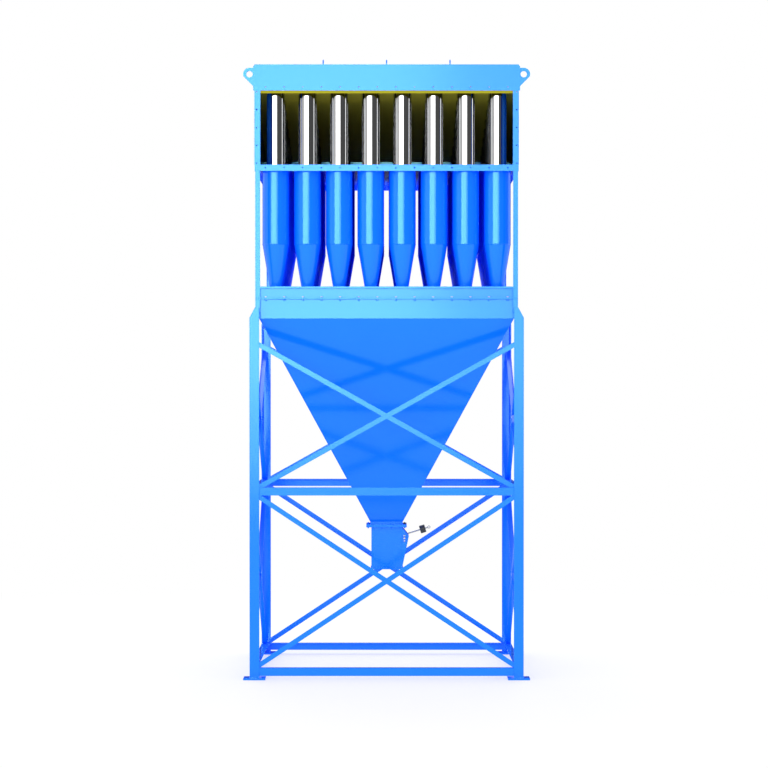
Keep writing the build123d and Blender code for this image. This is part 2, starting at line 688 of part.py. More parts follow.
# Casing walls
for wall_name, x_direction in {"casing_left": -1, "casing_right": 1}.items():
    with BuildPart() as casing_side:
        with BuildSketch(Plane.XY.offset(CASING_FLOOR)):
            with Locations((x_direction * (CASING_HALF - CASING_THICKNESS / 2), 0)):
                Rectangle(CASING_THICKNESS, 2 * header_back)
        extrude(amount=CASING_TOP - ROOF_THICKNESS - CASING_FLOOR)
    save(casing_side.part, wall_name)

outlet_sill_foot = slope_back + sheet_rise
with BuildPart() as casing_back:
    with BuildSketch(Plane.XZ.offset(-header_back)):
        with Locations((0, (CASING_FLOOR + outlet_sill_foot) / 2)):
            Rectangle(2 * CASING_HALF, outlet_sill_foot - CASING_FLOOR)
    extrude(amount=-HEADER_THICKNESS)
save(casing_back.part, "casing_back")

with BuildPart() as roof:
    with BuildSketch(Plane.XY.offset(CASING_TOP - ROOF_THICKNESS)):
        Rectangle(2 * CASING_HALF, 2 * header_back)
    extrude(amount=ROOF_THICKNESS)
save(roof.part, "roof")

# Inlet: jambs and header with the holes for the duct's flange
jamb_middle = CASING_HALF - JAMB_WIDTH / 2
jamb_hole_x = CASING_HALF - JAMB_HOLE_INSET
jamb_pitch = (INLET_HEIGHT - 2 * JAMB_HOLE_RISE) / (JAMB_HOLES - 1)
with BuildPart() as inlet_jambs:
    with BuildSketch(Plane.XZ.offset(CASING_HALF)):
        with Locations((0, CASING_FLOOR + INLET_HEIGHT / 2)):
            with GridLocations(2 * jamb_middle, 0, 2, 1):
                Rectangle(JAMB_WIDTH, INLET_HEIGHT)
        for step, hole_level in enumerate(row_levels(CASING_FLOOR + JAMB_HOLE_RISE, jamb_pitch, JAMB_HOLES)):
            with Locations((-jamb_hole_x, hole_level), (jamb_hole_x, hole_level)):
                add(bolt_hole(step in (0, JAMB_HOLES - 1)), mode=Mode.SUBTRACT)
    extrude(amount=-HEADER_THICKNESS)
save(inlet_jambs.part, "inlet_jambs")

header_half = CASING_HALF + HEADER_OVERHANG
with BuildPart() as inlet_header:
    with BuildSketch(Plane.XZ.offset(CASING_HALF)) as header_sketch:
        with Locations((0, (HEADER_FOOT + CASING_TOP) / 2)):
            Rectangle(2 * header_half, HEADER_HEIGHT)
        chamfer(header_sketch.vertices().group_by(Axis.Y)[-1], length=HEADER_CORNER)
        with Locations((0, HEADER_FOOT + HEADER_HOLE_RISE)):
            add(inlet_holes, mode=Mode.SUBTRACT)
    extrude(amount=-HEADER_THICKNESS)
save(inlet_header.part, "inlet_header")

# Clean gas outlet at the back, over the inclined sheet: sill, head and two jambs
outlet_low = outlet_sill_foot + OUTLET_SILL_HEIGHT
outlet_high = CASING_TOP - OUTLET_HEAD_HEIGHT
outlet_hole_x = CASING_HALF - JAMB_HOLE_INSET
outlet_jamb_pitch = (outlet_high - outlet_low) / (OUTLET_JAMB_HOLES + 1)
with BuildPart() as outlet_frame:
    with BuildSketch(Plane.XZ.offset(-header_back)):
        with Locations((0, (outlet_sill_foot + CASING_TOP) / 2)):
            Rectangle(2 * CASING_HALF, CASING_TOP - outlet_sill_foot)
        with Locations((0, (outlet_low + outlet_high) / 2)):
            Rectangle(2 * (CASING_HALF - JAMB_WIDTH), outlet_high - outlet_low, mode=Mode.SUBTRACT)
        with Locations((0, outlet_low), (0, outlet_high)):
            Rectangle(2 * CASING_HALF, MITRE_GAP, mode=Mode.SUBTRACT)
        for hole_level in (outlet_low - OUTLET_SILL_HEIGHT / 2, outlet_high + SILL_HOLE_DROP):
            with Locations((0, hole_level)):
                add(outlet_holes, mode=Mode.SUBTRACT)
        for hole_level in row_levels(outlet_low + outlet_jamb_pitch, outlet_jamb_pitch, OUTLET_JAMB_HOLES):
            with Locations((-outlet_hole_x, hole_level), (outlet_hole_x, hole_level)):
                add(bolt_hole(True), mode=Mode.SUBTRACT)
    extrude(amount=-HEADER_THICKNESS)
save(outlet_frame.part, "outlet_frame")

# Roof eyes: small upright plates near the front edge
with BuildPart() as roof_eyes:
    for step in range(ROOF_EYES):
        eye_x = (step - (ROOF_EYES - 1) / 2) * ROOF_EYE_SPACING
        eye_plane = Plane(
            origin=(eye_x, -CASING_HALF + ROOF_EYE_SETBACK, CASING_TOP), x_dir=(0, 1, 0), z_dir=(1, 0, 0)
        )
        with BuildSketch(eye_plane):
            with Locations((0, ROOF_EYE_HEIGHT - ROOF_EYE_WIDTH / 2)):
                Circle(ROOF_EYE_WIDTH / 2)
            with Locations((0, (ROOF_EYE_HEIGHT - ROOF_EYE_WIDTH / 2) / 2)):
                Rectangle(ROOF_EYE_WIDTH, ROOF_EYE_HEIGHT - ROOF_EYE_WIDTH / 2)
            with Locations((0, -ROOF_EYE_WIDTH / 2)):
                Rectangle(ROOF_EYE_WIDTH, ROOF_EYE_WIDTH, mode=Mode.SUBTRACT)
            with Locations((0, ROOF_EYE_HEIGHT - ROOF_EYE_WIDTH / 2)):
                RegularPolygon(ROOF_EYE_HOLE_DIAMETER / 2, PLAIN_HOLE_FACES, mode=Mode.SUBTRACT)
        extrude(amount=ROOF_EYE_THICKNESS / 2, both=True)
save(roof_eyes.part, "roof_eyes")

# Lifting lugs welded to the casing sides, behind the header and inside the outlet frame
lug_x = CASING_HALF + LUG_REACH
lug_z = CASING_TOP - LUG_HOLE_LEVEL


def lug(x_direction, y_direction):
    """A lifting lug: a round eye that runs down into a long weld on the casing's side."""
    lug_face = header_back - LUG_THICKNESS
    with BuildPart() as plate:
        with BuildSketch(Plane.XZ.offset(lug_face)) as outline:
            with BuildLine():
                Polyline(
                    (lug_x, lug_z + LUG_RADIUS), (CASING_HALF, lug_z + LUG_RADIUS),
                    (CASING_HALF, lug_z - LUG_FOOT_DROP), (lug_x + LUG_RADIUS, lug_z), close=True,
                )
            make_face()
            with Locations((lug_x, lug_z)):
                Circle(LUG_RADIUS)
            with Locations((CASING_HALF - LUG_RADIUS, lug_z)):
                Rectangle(2 * LUG_RADIUS, 2 * LUG_FOOT_DROP + 2 * LUG_RADIUS, mode=Mode.SUBTRACT)
            with Locations((lug_x, lug_z)):
                Circle(LUG_HOLE_DIAMETER / 2, mode=Mode.SUBTRACT)
        extrude(amount=LUG_THICKNESS)
        if x_direction < 0:
            mirror(about=Plane.YZ, mode=Mode.REPLACE)
        if y_direction > 0:
            mirror(about=Plane.XZ, mode=Mode.REPLACE)
    return plate.part


with BuildPart() as lifting_lugs:
    for x_direction in (-1, 1):
        for y_direction in (-1, 1):
            add(lug(x_direction, y_direction))
save(lifting_lugs.part, "lifting_lugs")
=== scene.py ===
"""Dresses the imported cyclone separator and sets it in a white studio, all in metres.

Each sub-assembly is a class with its sizes as fields. New pieces are surfaces worked out as
whole arrays. Flat members keep the frame's own mesh with its edges eased.
"""

import logging
import math
from dataclasses import dataclass, field
from enum import Enum

import bmesh
import bpy
import numpy as np
from numpy.typing import ArrayLike
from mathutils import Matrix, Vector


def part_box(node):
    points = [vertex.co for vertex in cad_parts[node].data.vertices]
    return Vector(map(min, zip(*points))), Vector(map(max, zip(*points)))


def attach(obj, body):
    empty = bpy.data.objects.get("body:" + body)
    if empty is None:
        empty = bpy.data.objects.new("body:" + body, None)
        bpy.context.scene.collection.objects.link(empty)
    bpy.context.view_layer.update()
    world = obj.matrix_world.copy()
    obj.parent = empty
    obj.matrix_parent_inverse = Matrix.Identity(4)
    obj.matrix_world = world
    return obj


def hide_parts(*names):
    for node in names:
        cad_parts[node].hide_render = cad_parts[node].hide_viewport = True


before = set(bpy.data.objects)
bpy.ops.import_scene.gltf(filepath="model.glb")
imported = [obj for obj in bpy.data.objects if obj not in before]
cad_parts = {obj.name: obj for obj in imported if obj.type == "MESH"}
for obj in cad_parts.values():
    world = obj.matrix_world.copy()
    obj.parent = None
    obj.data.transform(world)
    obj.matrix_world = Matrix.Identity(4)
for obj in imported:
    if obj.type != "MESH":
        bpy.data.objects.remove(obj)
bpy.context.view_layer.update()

log = logging.getLogger("separator")

FIXED = "separator"
SWINGING = "flap"
ROUND_SEGMENTS = 48
SMALL_SEGMENTS = 32
HOLE_SEGMENTS = 24
DISC_SEGMENTS = 16
LUG_STEPS = 22
CORNER_STEPS = 6
SMOOTH_ANGLE = math.radians(32)
SHARP_ANGLE = math.radians(50)
FLAT_ANGLE = math.radians(0.5)
MERGE_DISTANCE = 1e-5
NEARLY_ALONG = 0.9
RIPPLE_PITCH = 0.011
RIPPLE_SWELL = 0.14
BEAD_END = 0.55
BEAD_SINK = 0.1
ROOT_SINK = 0.0005
# The arcs give a start and an end in degrees and a number of points.
FILLET_ARC = (8, 82, 4)
RIDGE_ARC = (0, 315, 8)
WIRE_ARC = (0, 330, 12)
X_AXIS = np.array((1.0, 0.0, 0.0))
Y_AXIS = np.array((0.0, 1.0, 0.0))
Z_AXIS = np.array((0.0, 0.0, 1.0))
QUARTER_TURNS = tuple(
    np.array(((math.cos(a), -math.sin(a), 0.0), (math.sin(a), math.cos(a), 0.0), (0.0, 0.0, 1.0)))
    for a in np.arange(4) * math.pi / 2
)


class Finish(Enum):
    """The material slots of the record that a piece may take its finish from."""

    BLUE_PAINT = "blue_paint"
    OLIVE_PAINT = "olive_paint"
    BRIGHT_STEEL = "bright_steel"
    PLATED_STEEL = "plated_steel"
    DARK_IRON = "dark_iron"


class Edge(Enum):
    """How far the edges of the frame's own members are eased, in metres."""

    LEG = 0.0014
    BEAM = 0.0011
    SHEET = 0.0008
    VALVE = 0.0006


class BeadForm(Enum):
    """The two sections of a weld bead: in an inside corner, or over an edge or a butt joint."""

    FILLET = "fillet"
    RIDGE = "ridge"


# Surfaces


@dataclass
class Shell:
    """A surface: its points, and its faces as arrays whose rows are point numbers."""

    points: np.ndarray
    faces: list[np.ndarray]

    def turned(self, matrix: np.ndarray) -> "Shell":
        """The shell with every point turned by a rotation matrix."""
        return Shell(self.points @ np.asarray(matrix).T, self.faces)

    def moved(self, offset: ArrayLike) -> "Shell":
        """The shell shifted by one offset."""
        return Shell(self.points + np.asarray(offset), self.faces)

    def mirrored(self, axis: int) -> "Shell":
        """The shell mirrored along one axis, its faces turned round so that they still face out.

        Args:
            axis: Number of the axis.

        Returns:
            The mirrored shell.
        """
        points = self.points.copy()
        points[:, axis] *= -1.0
        return Shell(points, [block[:, ::-1] for block in self.faces])

    def repeated(self, offsets: ArrayLike) -> "Shell":
        """Copies of the shell, one at each offset, as one shell.

        Args:
            offsets: Rows of x, y and z.

        Returns:
            A shell with the points of copy k shifted by offset k.
        """
        offsets = np.asarray(offsets, float)
        count = len(self.points)
        points = (self.points[None] + offsets[:, None]).reshape(-1, 3)
        starts = np.arange(len(offsets))[:, None, None] * count
        faces = [(block[None] + starts).reshape(-1, block.shape[1]) for block in self.faces]
        return Shell(points, faces)

    def round_the_plan(self) -> "Shell":
        """Four copies of the shell, a quarter turn apart about the vertical axis."""
        return joined([self.turned(turn) for turn in QUARTER_TURNS])


def joined(shells: list[Shell]) -> Shell:
    """Several shells as one.

    Args:
        shells: The shells to put together.

    Returns:
        One shell with the points in order and the faces renumbered.
    """
    starts = np.cumsum([0] + [len(shell.points) for shell in shells])
    faces = [block + start for shell, start in zip(shells, starts) for block in shell.faces]
    return Shell(np.concatenate([shell.points for shell in shells]), faces)


def grid_faces(rows: int, columns: int, wrap_rows: bool, wrap_columns: bool) -> np.ndarray:
    """The four-sided faces of a grid of points numbered row by row.

    Args:
        rows: Number of rows of points.
        columns: Number of points in a row.
        wrap_rows: Whether the last row joins the first.
        wrap_columns: Whether the last column joins the first.

    Returns:
        Rows of four point numbers, turning from along the row to up the column.
    """
    row, column = np.meshgrid(
        np.arange(rows if wrap_rows else rows - 1),
        np.arange(columns if wrap_columns else columns - 1),
        indexing="ij",
    )
    next_row, next_column = (row + 1) % rows, (column + 1) % columns
    corners = (row * columns + column, row * columns + next_column,
               next_row * columns + next_column, next_row * columns + column)
    return np.stack(corners, axis=-1).reshape(-1, 4)


def end_caps(rows: int, columns: int) -> list[np.ndarray]:
    """The first row's face, turned back, and the last row's face.

    Args:
        rows: Number of rows of points.
        columns: Number of points in a row.

    Returns:
        The two faces, each as one row of point numbers.
    """
    first = np.arange(columns)[::-1]
    last = (rows - 1) * columns + np.arange(columns)
    return [first[None], last[None]]


def revolve(profile: ArrayLike, segments: int, closed: bool) -> Shell:
    """Turns a profile about the vertical axis.

    The point of profile step i at turn j is (r_i cos a_j, r_i sin a_j, h_i), where a_j is j times
    a full turn over the number of segments.

    Args:
        profile: Radius and height of each step, going up on the outside.
        segments: Points in a ring.
        closed: Whether the last step joins the first. If not, both ends are capped.

    Returns:
        The surface of revolution.
    """
    steps = np.asarray(profile, float)
    turns = np.arange(segments) * 2 * math.pi / segments
    points = np.empty((len(steps), segments, 3))
    points[..., 0] = steps[:, :1] * np.cos(turns)
    points[..., 1] = steps[:, :1] * np.sin(turns)
    points[..., 2] = steps[:, 1:]
    faces = [grid_faces(len(steps), segments, closed, True)]
    if not closed:
        faces += end_caps(len(steps), segments)
    return Shell(points.reshape(-1, 3), faces)


def carry(section: np.ndarray, stations: np.ndarray, across: np.ndarray, up: np.ndarray) -> Shell:
    """Carries a section along a path.

    The point of section step i at station k is station_k + u_i across_k + v_i up_k.

    Args:
        section: Steps of u and v, turning from across to up, for all stations or for each.
        stations: Points of the path.
        across: The section's first direction, for all stations or for each.
        up: The section's second direction. Across, up and the path make a right-handed set.

    Returns:
        The carried surface with both ends capped.
    """
    count = len(stations)
    steps = np.broadcast_to(section, (count,) + np.shape(section)[-2:])
    across = np.broadcast_to(across, (count, 3))
    up = np.broadcast_to(up, (count, 3))
    points = stations[:, None] + steps[..., :1] * across[:, None] + steps[..., 1:] * up[:, None]
    rows, columns = points.shape[:2]
    faces = [grid_faces(rows, columns, False, True)] + end_caps(rows, columns)
    return Shell(points.reshape(-1, 3), faces)


def axes_towards(direction: np.ndarray) -> np.ndarray:
    """A rotation matrix that turns the vertical axis to a direction.

    Args:
        direction: Where the vertical axis ends up.

    Returns:
        The matrix, whose columns are the turned axes.
    """
    way = np.asarray(direction, float) / np.linalg.norm(direction)
    helper = X_AXIS if abs(way[0]) < NEARLY_ALONG else Y_AXIS
    second = np.cross(way, helper)
    second /= np.linalg.norm(second)
    return np.stack([np.cross(second, way), second, way], axis=1)


def arc(centre: tuple[float, float], radius: float, start: float, end: float, steps: int) -> np.ndarray:
    """Points on a circle from one angle to another, in degrees, both ends included."""
    angles = np.radians(np.linspace(start, end, steps))
    return np.stack([centre[0] + radius * np.cos(angles), centre[1] + radius * np.sin(angles)], axis=1)


def facing_pair(side_a: ArrayLike, side_b: ArrayLike, way: np.ndarray) -> tuple[np.ndarray, np.ndarray]:
    """Two directions in the order that makes a right-handed set with a third."""
    side_a, side_b = np.asarray(side_a, float), np.asarray(side_b, float)
    return (side_b, side_a) if np.dot(np.cross(side_a, side_b), way) < 0 else (side_a, side_b)


def bead(start: ArrayLike, end: ArrayLike, side_a: ArrayLike, side_b: ArrayLike,
         form: BeadForm = BeadForm.FILLET, leg: float = 0.005) -> Shell:
    """A weld bead with its ripples.

    The section's radius at a distance s is leg (1 + swell |sin(pi s / pitch)|), drawn in at both
    ends. A fillet is a quarter disc in the corner, and a ridge a whole disc on the joint.

    Args:
        start: Where the joint starts.
        end: Where it ends.
        side_a: Direction along the first face, away from the joint.
        side_b: Direction along the second face, away from the joint.
        form: Fillet or ridge.
        leg: The bead's radius.

    Returns:
        The bead's closed surface.
    """
    start, end = np.asarray(start, float), np.asarray(end, float)
    side_a, side_b = facing_pair(side_a, side_b, end - start)
    length = float(np.linalg.norm(end - start))
    along = np.linspace(0, length, max(4, int(round(length / RIPPLE_PITCH)) * 3 + 1))
    swell = 1 + RIPPLE_SWELL * np.abs(np.sin(math.pi * along / RIPPLE_PITCH))
    swell *= np.clip(BEAD_END + np.minimum(along, length - along) / (2 * leg), 0, 1)
    if form is BeadForm.FILLET:
        corner = [(-BEAD_SINK, -BEAD_SINK), (1.0, -BEAD_SINK)]
        outline = np.concatenate([corner, arc((0, 0), 1.0, *FILLET_ARC), [(-BEAD_SINK, 1.0)]])
    else:
        outline = arc((0, 0), 1.0, *RIDGE_ARC)
    stations = start + (end - start) * (along / length)[:, None]
    return carry(outline[None] * (leg * swell)[:, None, None], stations, side_a, side_b)


def root_fillet(start: ArrayLike, end: ArrayLike, side_a: ArrayLike, side_b: ArrayLike,
                radius: float) -> Shell:
    """The hollow root radius inside a rolled angle.

    The section runs from the corner along side a, round a quarter circle whose middle is one
    radius from both sides, and back along side b.

    Args:
        start: The inside corner at one end.
        end: The inside corner at the other end.
        side_a: Direction along the first flange.
        side_b: Direction along the second flange.
        radius: The root radius.

    Returns:
        The fillet's closed surface.
    """
    start, end = np.asarray(start, float), np.asarray(end, float)
    side_a, side_b = facing_pair(side_a, side_b, end - start)
    hollow = arc((radius, radius), radius, 270, 180, CORNER_STEPS)
    outline = np.concatenate([[(-ROOT_SINK, -ROOT_SINK), (radius, -ROOT_SINK)], hollow,
                              [(-ROOT_SINK, radius)]])
    return carry(outline, np.stack([start, end]), side_a, side_b)


def drilled_plate(outline: np.ndarray, holes: list[np.ndarray], thickness: float) -> Shell:
    """A flat plate with holes through it, lying on the ground plane and rising by its thickness.

    The face between the outline and the hole outlines is filled with triangles, copied up by the
    thickness, and walls join both faces round every outline.

    Args:
        outline: Points of the plate's edge, anticlockwise.
        holes: Points of each hole's edge, anticlockwise.
        thickness: Height of the plate.

    Returns:
        The plate's closed surface.
    """
    loops = [np.asarray(outline, float)] + [np.asarray(hole, float) for hole in holes]
    flat = bmesh.new()
    for loop in loops:
        corners = [flat.verts.new((x, y, 0.0)) for x, y in loop]
        for step, corner in enumerate(corners):
            flat.edges.new((corner, corners[(step + 1) % len(corners)]))
    bmesh.ops.triangle_fill(flat, use_beauty=True, use_dissolve=False, edges=flat.edges[:], normal=(0, 0, 1))
    bmesh.ops.triangulate(flat, faces=flat.faces[:])
    flat.verts.index_update()
    triangles = np.array([[v.index for v in face.verts] for face in flat.faces])
    flat.free()
    ground = np.concatenate(loops)
    corners = ground[triangles]
    edge_1, edge_2 = corners[:, 1] - corners[:, 0], corners[:, 2] - corners[:, 0]
    backwards = edge_1[:, 0] * edge_2[:, 1] - edge_1[:, 1] * edge_2[:, 0] < 0
    triangles[backwards] = triangles[backwards][:, ::-1]
    count = len(ground)
    points = np.zeros((2 * count, 3))
    points[:count, :2] = ground
    points[count:, :2] = ground
    points[count:, 2] = thickness
    walls, start = [], 0
    for number, loop in enumerate(loops):
        here = start + np.arange(len(loop))
        there = start + (np.arange(len(loop)) + 1) % len(loop)
        wall = np.stack([here, there, there + count, here + count], axis=1)
        walls.append(wall if number == 0 else wall[:, ::-1])
        start += len(loop)
    return Shell(points, [triangles[:, ::-1], triangles + count, np.concatenate(walls)])


def rectangle(x_low: float, x_high: float, y_low: float, y_high: float) -> np.ndarray:
    """The four corners of a rectangle, anticlockwise."""
    return np.array([(x_low, y_low), (x_high, y_low), (x_high, y_high), (x_low, y_high)])


def circle(centre: tuple[float, float], radius: float, segments: int = HOLE_SEGMENTS) -> np.ndarray:
    """Points round a whole circle, anticlockwise."""
    return arc(centre, radius, 0, 360, segments + 1)[:-1]


def standing(shell: Shell, y: float) -> Shell:
    """A plate drawn on the ground, stood up: its y turns to height, its thickness goes to -Y from y."""
    turn = np.array(((1.0, 0.0, 0.0), (0.0, 0.0, -1.0), (0.0, 1.0, 0.0)))
    return shell.turned(turn).moved((0.0, y, 0.0))


# Node groups and materials


COLOUR_MIX_INPUTS = (0, 6, 7)
COLOUR_MIX_OUTPUT = 2
PATTERN_INPUTS = {"Place": "Vector", "Colour": "Color", "Second Colour": "Color", "Roughness": "Float",
                  "Drift": "Float"}
PATTERN_OUTPUTS = {"Colour": "Color", "Roughness": "Float", "Height": "Float"}
DUST_INPUTS = {"Place": "Vector", "Colour": "Color", "Dust Colour": "Color", "Roughness": "Float",
               "Amount": "Float"}
DUST_OUTPUTS = {"Colour": "Color", "Roughness": "Float"}


def feed(tree: bpy.types.NodeTree, term: object, socket: bpy.types.NodeSocket) -> None:
    """Joins a socket to another, or sets the other's value where the term is a value.

    Args:
        tree: The tree of both sockets.
        term: A socket or a value.
        socket: The socket that takes it.
    """
    if isinstance(term, bpy.types.NodeSocket):
        tree.links.new(term, socket)
    else:
        socket.default_value = term


def add_node(tree: bpy.types.NodeTree, kind: str, terms: dict[str | int, object] | None = None,
             **settings: object) -> bpy.types.Node:
    """Adds a node to a tree.

    Args:
        tree: The tree that it goes in.
        kind: The node's type.
        terms: A socket or a value for each input that isn't left at its default.
        settings: The node's own properties.

    Returns:
        The node.
    """
    node = tree.nodes.new(kind)
    for key, value in settings.items():
        setattr(node, key, value)
    for name, term in (terms or {}).items():
        feed(tree, term, node.inputs[name])
    return node


def math_node(tree: bpy.types.NodeTree, operation: str, first: object,
              second: object) -> bpy.types.NodeSocket:
    """The output of a Math node with sockets or numbers as its two terms."""
    return add_node(tree, "ShaderNodeMath", {0: first, 1: second}, operation=operation).outputs[0]


@dataclass
class GroupBuilder:
    """Builds one shader node group with named sockets.

    Attributes:
        name: The group's name.
        inputs: Name and kind of each input.
        outputs: Name and kind of each output.
        tree: The group's tree.
        entry: The node that the inputs come from.
        leave: The node that the outputs go to.
    """

    name: str
    inputs: dict[str, str]
    outputs: dict[str, str]
    tree: bpy.types.NodeTree = field(init=False)
    entry: bpy.types.Node = field(init=False)
    leave: bpy.types.Node = field(init=False)

    def __post_init__(self) -> None:
        """Makes the tree and its sockets."""
        self.tree = bpy.data.node_groups.new(self.name, "ShaderNodeTree")
        for way, sockets in (("INPUT", self.inputs), ("OUTPUT", self.outputs)):
            for socket, kind in sockets.items():
                self.tree.interface.new_socket(name=socket, in_out=way, socket_type=f"NodeSocket{kind}")
        self.entry = self.tree.nodes.new("NodeGroupInput")
        self.leave = self.tree.nodes.new("NodeGroupOutput")

    def noise(self, scale: float, detail: float, place: bpy.types.NodeSocket) -> bpy.types.NodeSocket:
        """A noise pattern's value at a place."""
        terms = {"Vector": place, "Scale": scale, "Detail": detail}
        return add_node(self.tree, "ShaderNodeTexNoise", terms).outputs[0]

    def mix_colours(self, share: bpy.types.NodeSocket, second: str) -> None:
        """Gives out the first colour mixed with a second one by a share.

        Args:
            share: The second colour's share.
            second: Name of the input that the second colour comes from.
        """
        mix = add_node(self.tree, "ShaderNodeMix", data_type="RGBA")
        sources = (share, self.entry.outputs["Colour"], self.entry.outputs[second])
        for source, number in zip(sources, COLOUR_MIX_INPUTS):
            self.tree.links.new(source, mix.inputs[number])
        self.tree.links.new(mix.outputs[COLOUR_MIX_OUTPUT], self.leave.inputs["Colour"])

    def raise_roughness(self, amount: bpy.types.NodeSocket) -> None:
        """Gives out the roughness plus an amount."""
        total = math_node(self.tree, "ADD", self.entry.outputs["Roughness"], amount)
        self.tree.links.new(total, self.leave.inputs["Roughness"])

    def drift_roughness(self, pattern: bpy.types.NodeSocket) -> None:
        """Gives out the roughness plus the drift times the pattern's distance from its middle."""
        away = math_node(self.tree, "SUBTRACT", pattern, 0.5)
        self.raise_roughness(math_node(self.tree, "MULTIPLY", away, self.entry.outputs["Drift"]))


def sprayed_coat_group(patch_scale: float = 3.5, peel_scale: float = 420.0) -> bpy.types.NodeTree:
    """Sprayed paint: wide thin patches in the colour, fine orange peel and a roughness that drifts.

    Args:
        patch_scale: Patches in a metre.
        peel_scale: Dimples in a metre.

    Returns:
        The group.
    """
    group = GroupBuilder("sprayed_coat", PATTERN_INPUTS, PATTERN_OUTPUTS)
    place = group.entry.outputs["Place"]
    patches = group.noise(patch_scale, 3.0, place)
    group.mix_colours(patches, "Second Colour")
    group.drift_roughness(patches)
    group.tree.links.new(group.noise(peel_scale, 2.0, place), group.leave.inputs["Height"])
    return group.tree


def drawn_metal_group(line_scale: tuple[float, float, float] = (260.0, 260.0, 5.0),
                      stain_scale: float = 9.0) -> bpy.types.NodeTree:
    """Drawn or turned metal: fine lines along one direction that vary the colour and the roughness.

    Args:
        line_scale: Lines in a metre along each axis.
        stain_scale: Stains in a metre.

    Returns:
        The group.
    """
    group = GroupBuilder("drawn_metal", PATTERN_INPUTS, PATTERN_OUTPUTS)
    place = group.entry.outputs["Place"]
    stretch = add_node(group.tree, "ShaderNodeMapping", {"Vector": place, "Scale": line_scale})
    lines = group.noise(1.0, 3.0, stretch.outputs[0])
    stains = group.noise(stain_scale, 2.0, place)
    group.mix_colours(math_node(group.tree, "MULTIPLY", stains, lines), "Second Colour")
    group.drift_roughness(lines)
    group.tree.links.new(lines, group.leave.inputs["Height"])
    return group.tree


def settled_dust_group(patch_scale: float = 7.0, patch_detail: float = 5.0) -> bpy.types.NodeTree:
    """Dust that settles on faces turned up: it greys the colour and dulls the gloss in soft patches.

    Args:
        patch_scale: Patches in a metre.
        patch_detail: How many finer layers the patches have.

    Returns:
        The group.
    """
    group = GroupBuilder("settled_dust", DUST_INPUTS, DUST_OUTPUTS)
    normal = add_node(group.tree, "ShaderNodeNewGeometry").outputs["Normal"]
    upward = add_node(group.tree, "ShaderNodeSeparateXYZ", {0: normal}).outputs["Z"]
    facing = add_node(group.tree, "ShaderNodeMapRange", {"Value": upward, "From Min": 0.5, "From Max": 1.0},
                      interpolation_type="SMOOTHSTEP")
    patches = group.noise(patch_scale, patch_detail, group.entry.outputs["Place"])
    cover = math_node(group.tree, "MULTIPLY", facing.outputs[0], patches)
    share = math_node(group.tree, "MULTIPLY", cover, group.entry.outputs["Amount"])
    group.mix_colours(share, "Dust Colour")
    group.raise_roughness(share)
    return group.tree


@dataclass(frozen=True)
class Surface:
    """A finish on a Principled shader, with its pattern taken from a shared node group.

    Attributes:
        name: The material's name.
        finish: The record's slot that it shows.
        colour: The main colour, linear.
        second_colour: The colour of thin or worn places.
        roughness: The middle roughness.
        drift: How far the roughness wanders.
        metallic: One for bare metal.
        ior: The clear layer's refractive index.
        tint: The colour of the gloss seen head on.
        relief: Depth of the fine relief, in metres.
        dust: Share of dust on faces turned up.
        drawn: Whether it has the lines of drawn metal, and not the patches of a sprayed coat.
        dust_colour: The colour of the dust.
        bump: Strength of the relief.
    """

    name: str
    finish: Finish
    colour: tuple[float, float, float]
    second_colour: tuple[float, float, float]
    roughness: float
    drift: float
    metallic: float
    ior: float
    relief: float
    tint: tuple[float, float, float] = (1.0, 1.0, 1.0)
    dust: float = 0.1
    drawn: bool = False
    dust_colour: tuple[float, float, float] = (0.42, 0.46, 0.5)
    bump: float = 0.35

    def material(self, pattern: bpy.types.NodeTree, dust: bpy.types.NodeTree) -> bpy.types.Material:
        """Builds the material.

        Args:
            pattern: The node group with the finish's own pattern.
            dust: The node group for settled dust.

        Returns:
            The material.
        """
        material = bpy.data.materials.new(self.name)
        material.use_nodes = True
        tree = material.node_tree
        shader = next(node for node in tree.nodes if node.type == "BSDF_PRINCIPLED")
        place = add_node(tree, "ShaderNodeTexCoord").outputs["Object"]
        coat = add_node(tree, "ShaderNodeGroup", node_tree=pattern)
        settled = add_node(tree, "ShaderNodeGroup", node_tree=dust)
        height = coat.outputs["Height"]
        relief = add_node(tree, "ShaderNodeBump",
                          {"Height": height, "Distance": self.relief, "Strength": self.bump})
        for node, terms in (
            (coat, {
                "Place": place, "Colour": (*self.colour, 1.0), "Second Colour": (*self.second_colour, 1.0),
                "Roughness": self.roughness, "Drift": self.drift,
            }),
            (settled, {
                "Place": place, "Colour": coat.outputs["Colour"], "Roughness": coat.outputs["Roughness"],
                "Dust Colour": (*self.dust_colour, 1.0), "Amount": self.dust,
            }),
            (shader, {
                "Base Color": settled.outputs["Colour"], "Roughness": settled.outputs["Roughness"],
                "Normal": relief.outputs[0], "Metallic": self.metallic, "IOR": self.ior,
                "Specular Tint": (*self.tint, 1.0),
            }),
        ):
            for name, term in terms.items():
                feed(tree, term, node.inputs[name])
        return material


BLUE = Surface("blue_enamel", Finish.BLUE_PAINT, (0.002, 0.14, 0.99), (0.003, 0.15, 0.995), roughness=0.12,
               drift=0.03, metallic=0.0, ior=1.69, relief=0.00004, tint=(0.36, 1.0, 1.0), dust=0.08)
# Painted light: the sheet's olive is made brighter than the primer itself, to stand in for light that the dim
# chamber under it lacks. The lip's copy of the same primer is darker.
OLIVE_PAINTED_LIGHT = Surface("olive_primer_painted_light", Finish.OLIVE_PAINT, (0.62, 0.57, 0.05), (0.57, 0.52, 0.05), roughness=0.4,
                drift=0.1, metallic=0.0, ior=1.35, relief=0.00006)
OLIVE_EDGE = Surface("olive_lip_primer", Finish.OLIVE_PAINT, (0.33, 0.30, 0.015), (0.30, 0.27, 0.018),
                     roughness=0.7, drift=0.1, metallic=0.0, ior=1.1, relief=0.00006)
BRIGHT = Surface("drawn_steel_tube", Finish.BRIGHT_STEEL, (0.45, 0.453, 0.458), (0.38, 0.383, 0.388),
                 roughness=0.06, drift=0.02, metallic=1.0, ior=1.5, relief=0.00001, drawn=True)
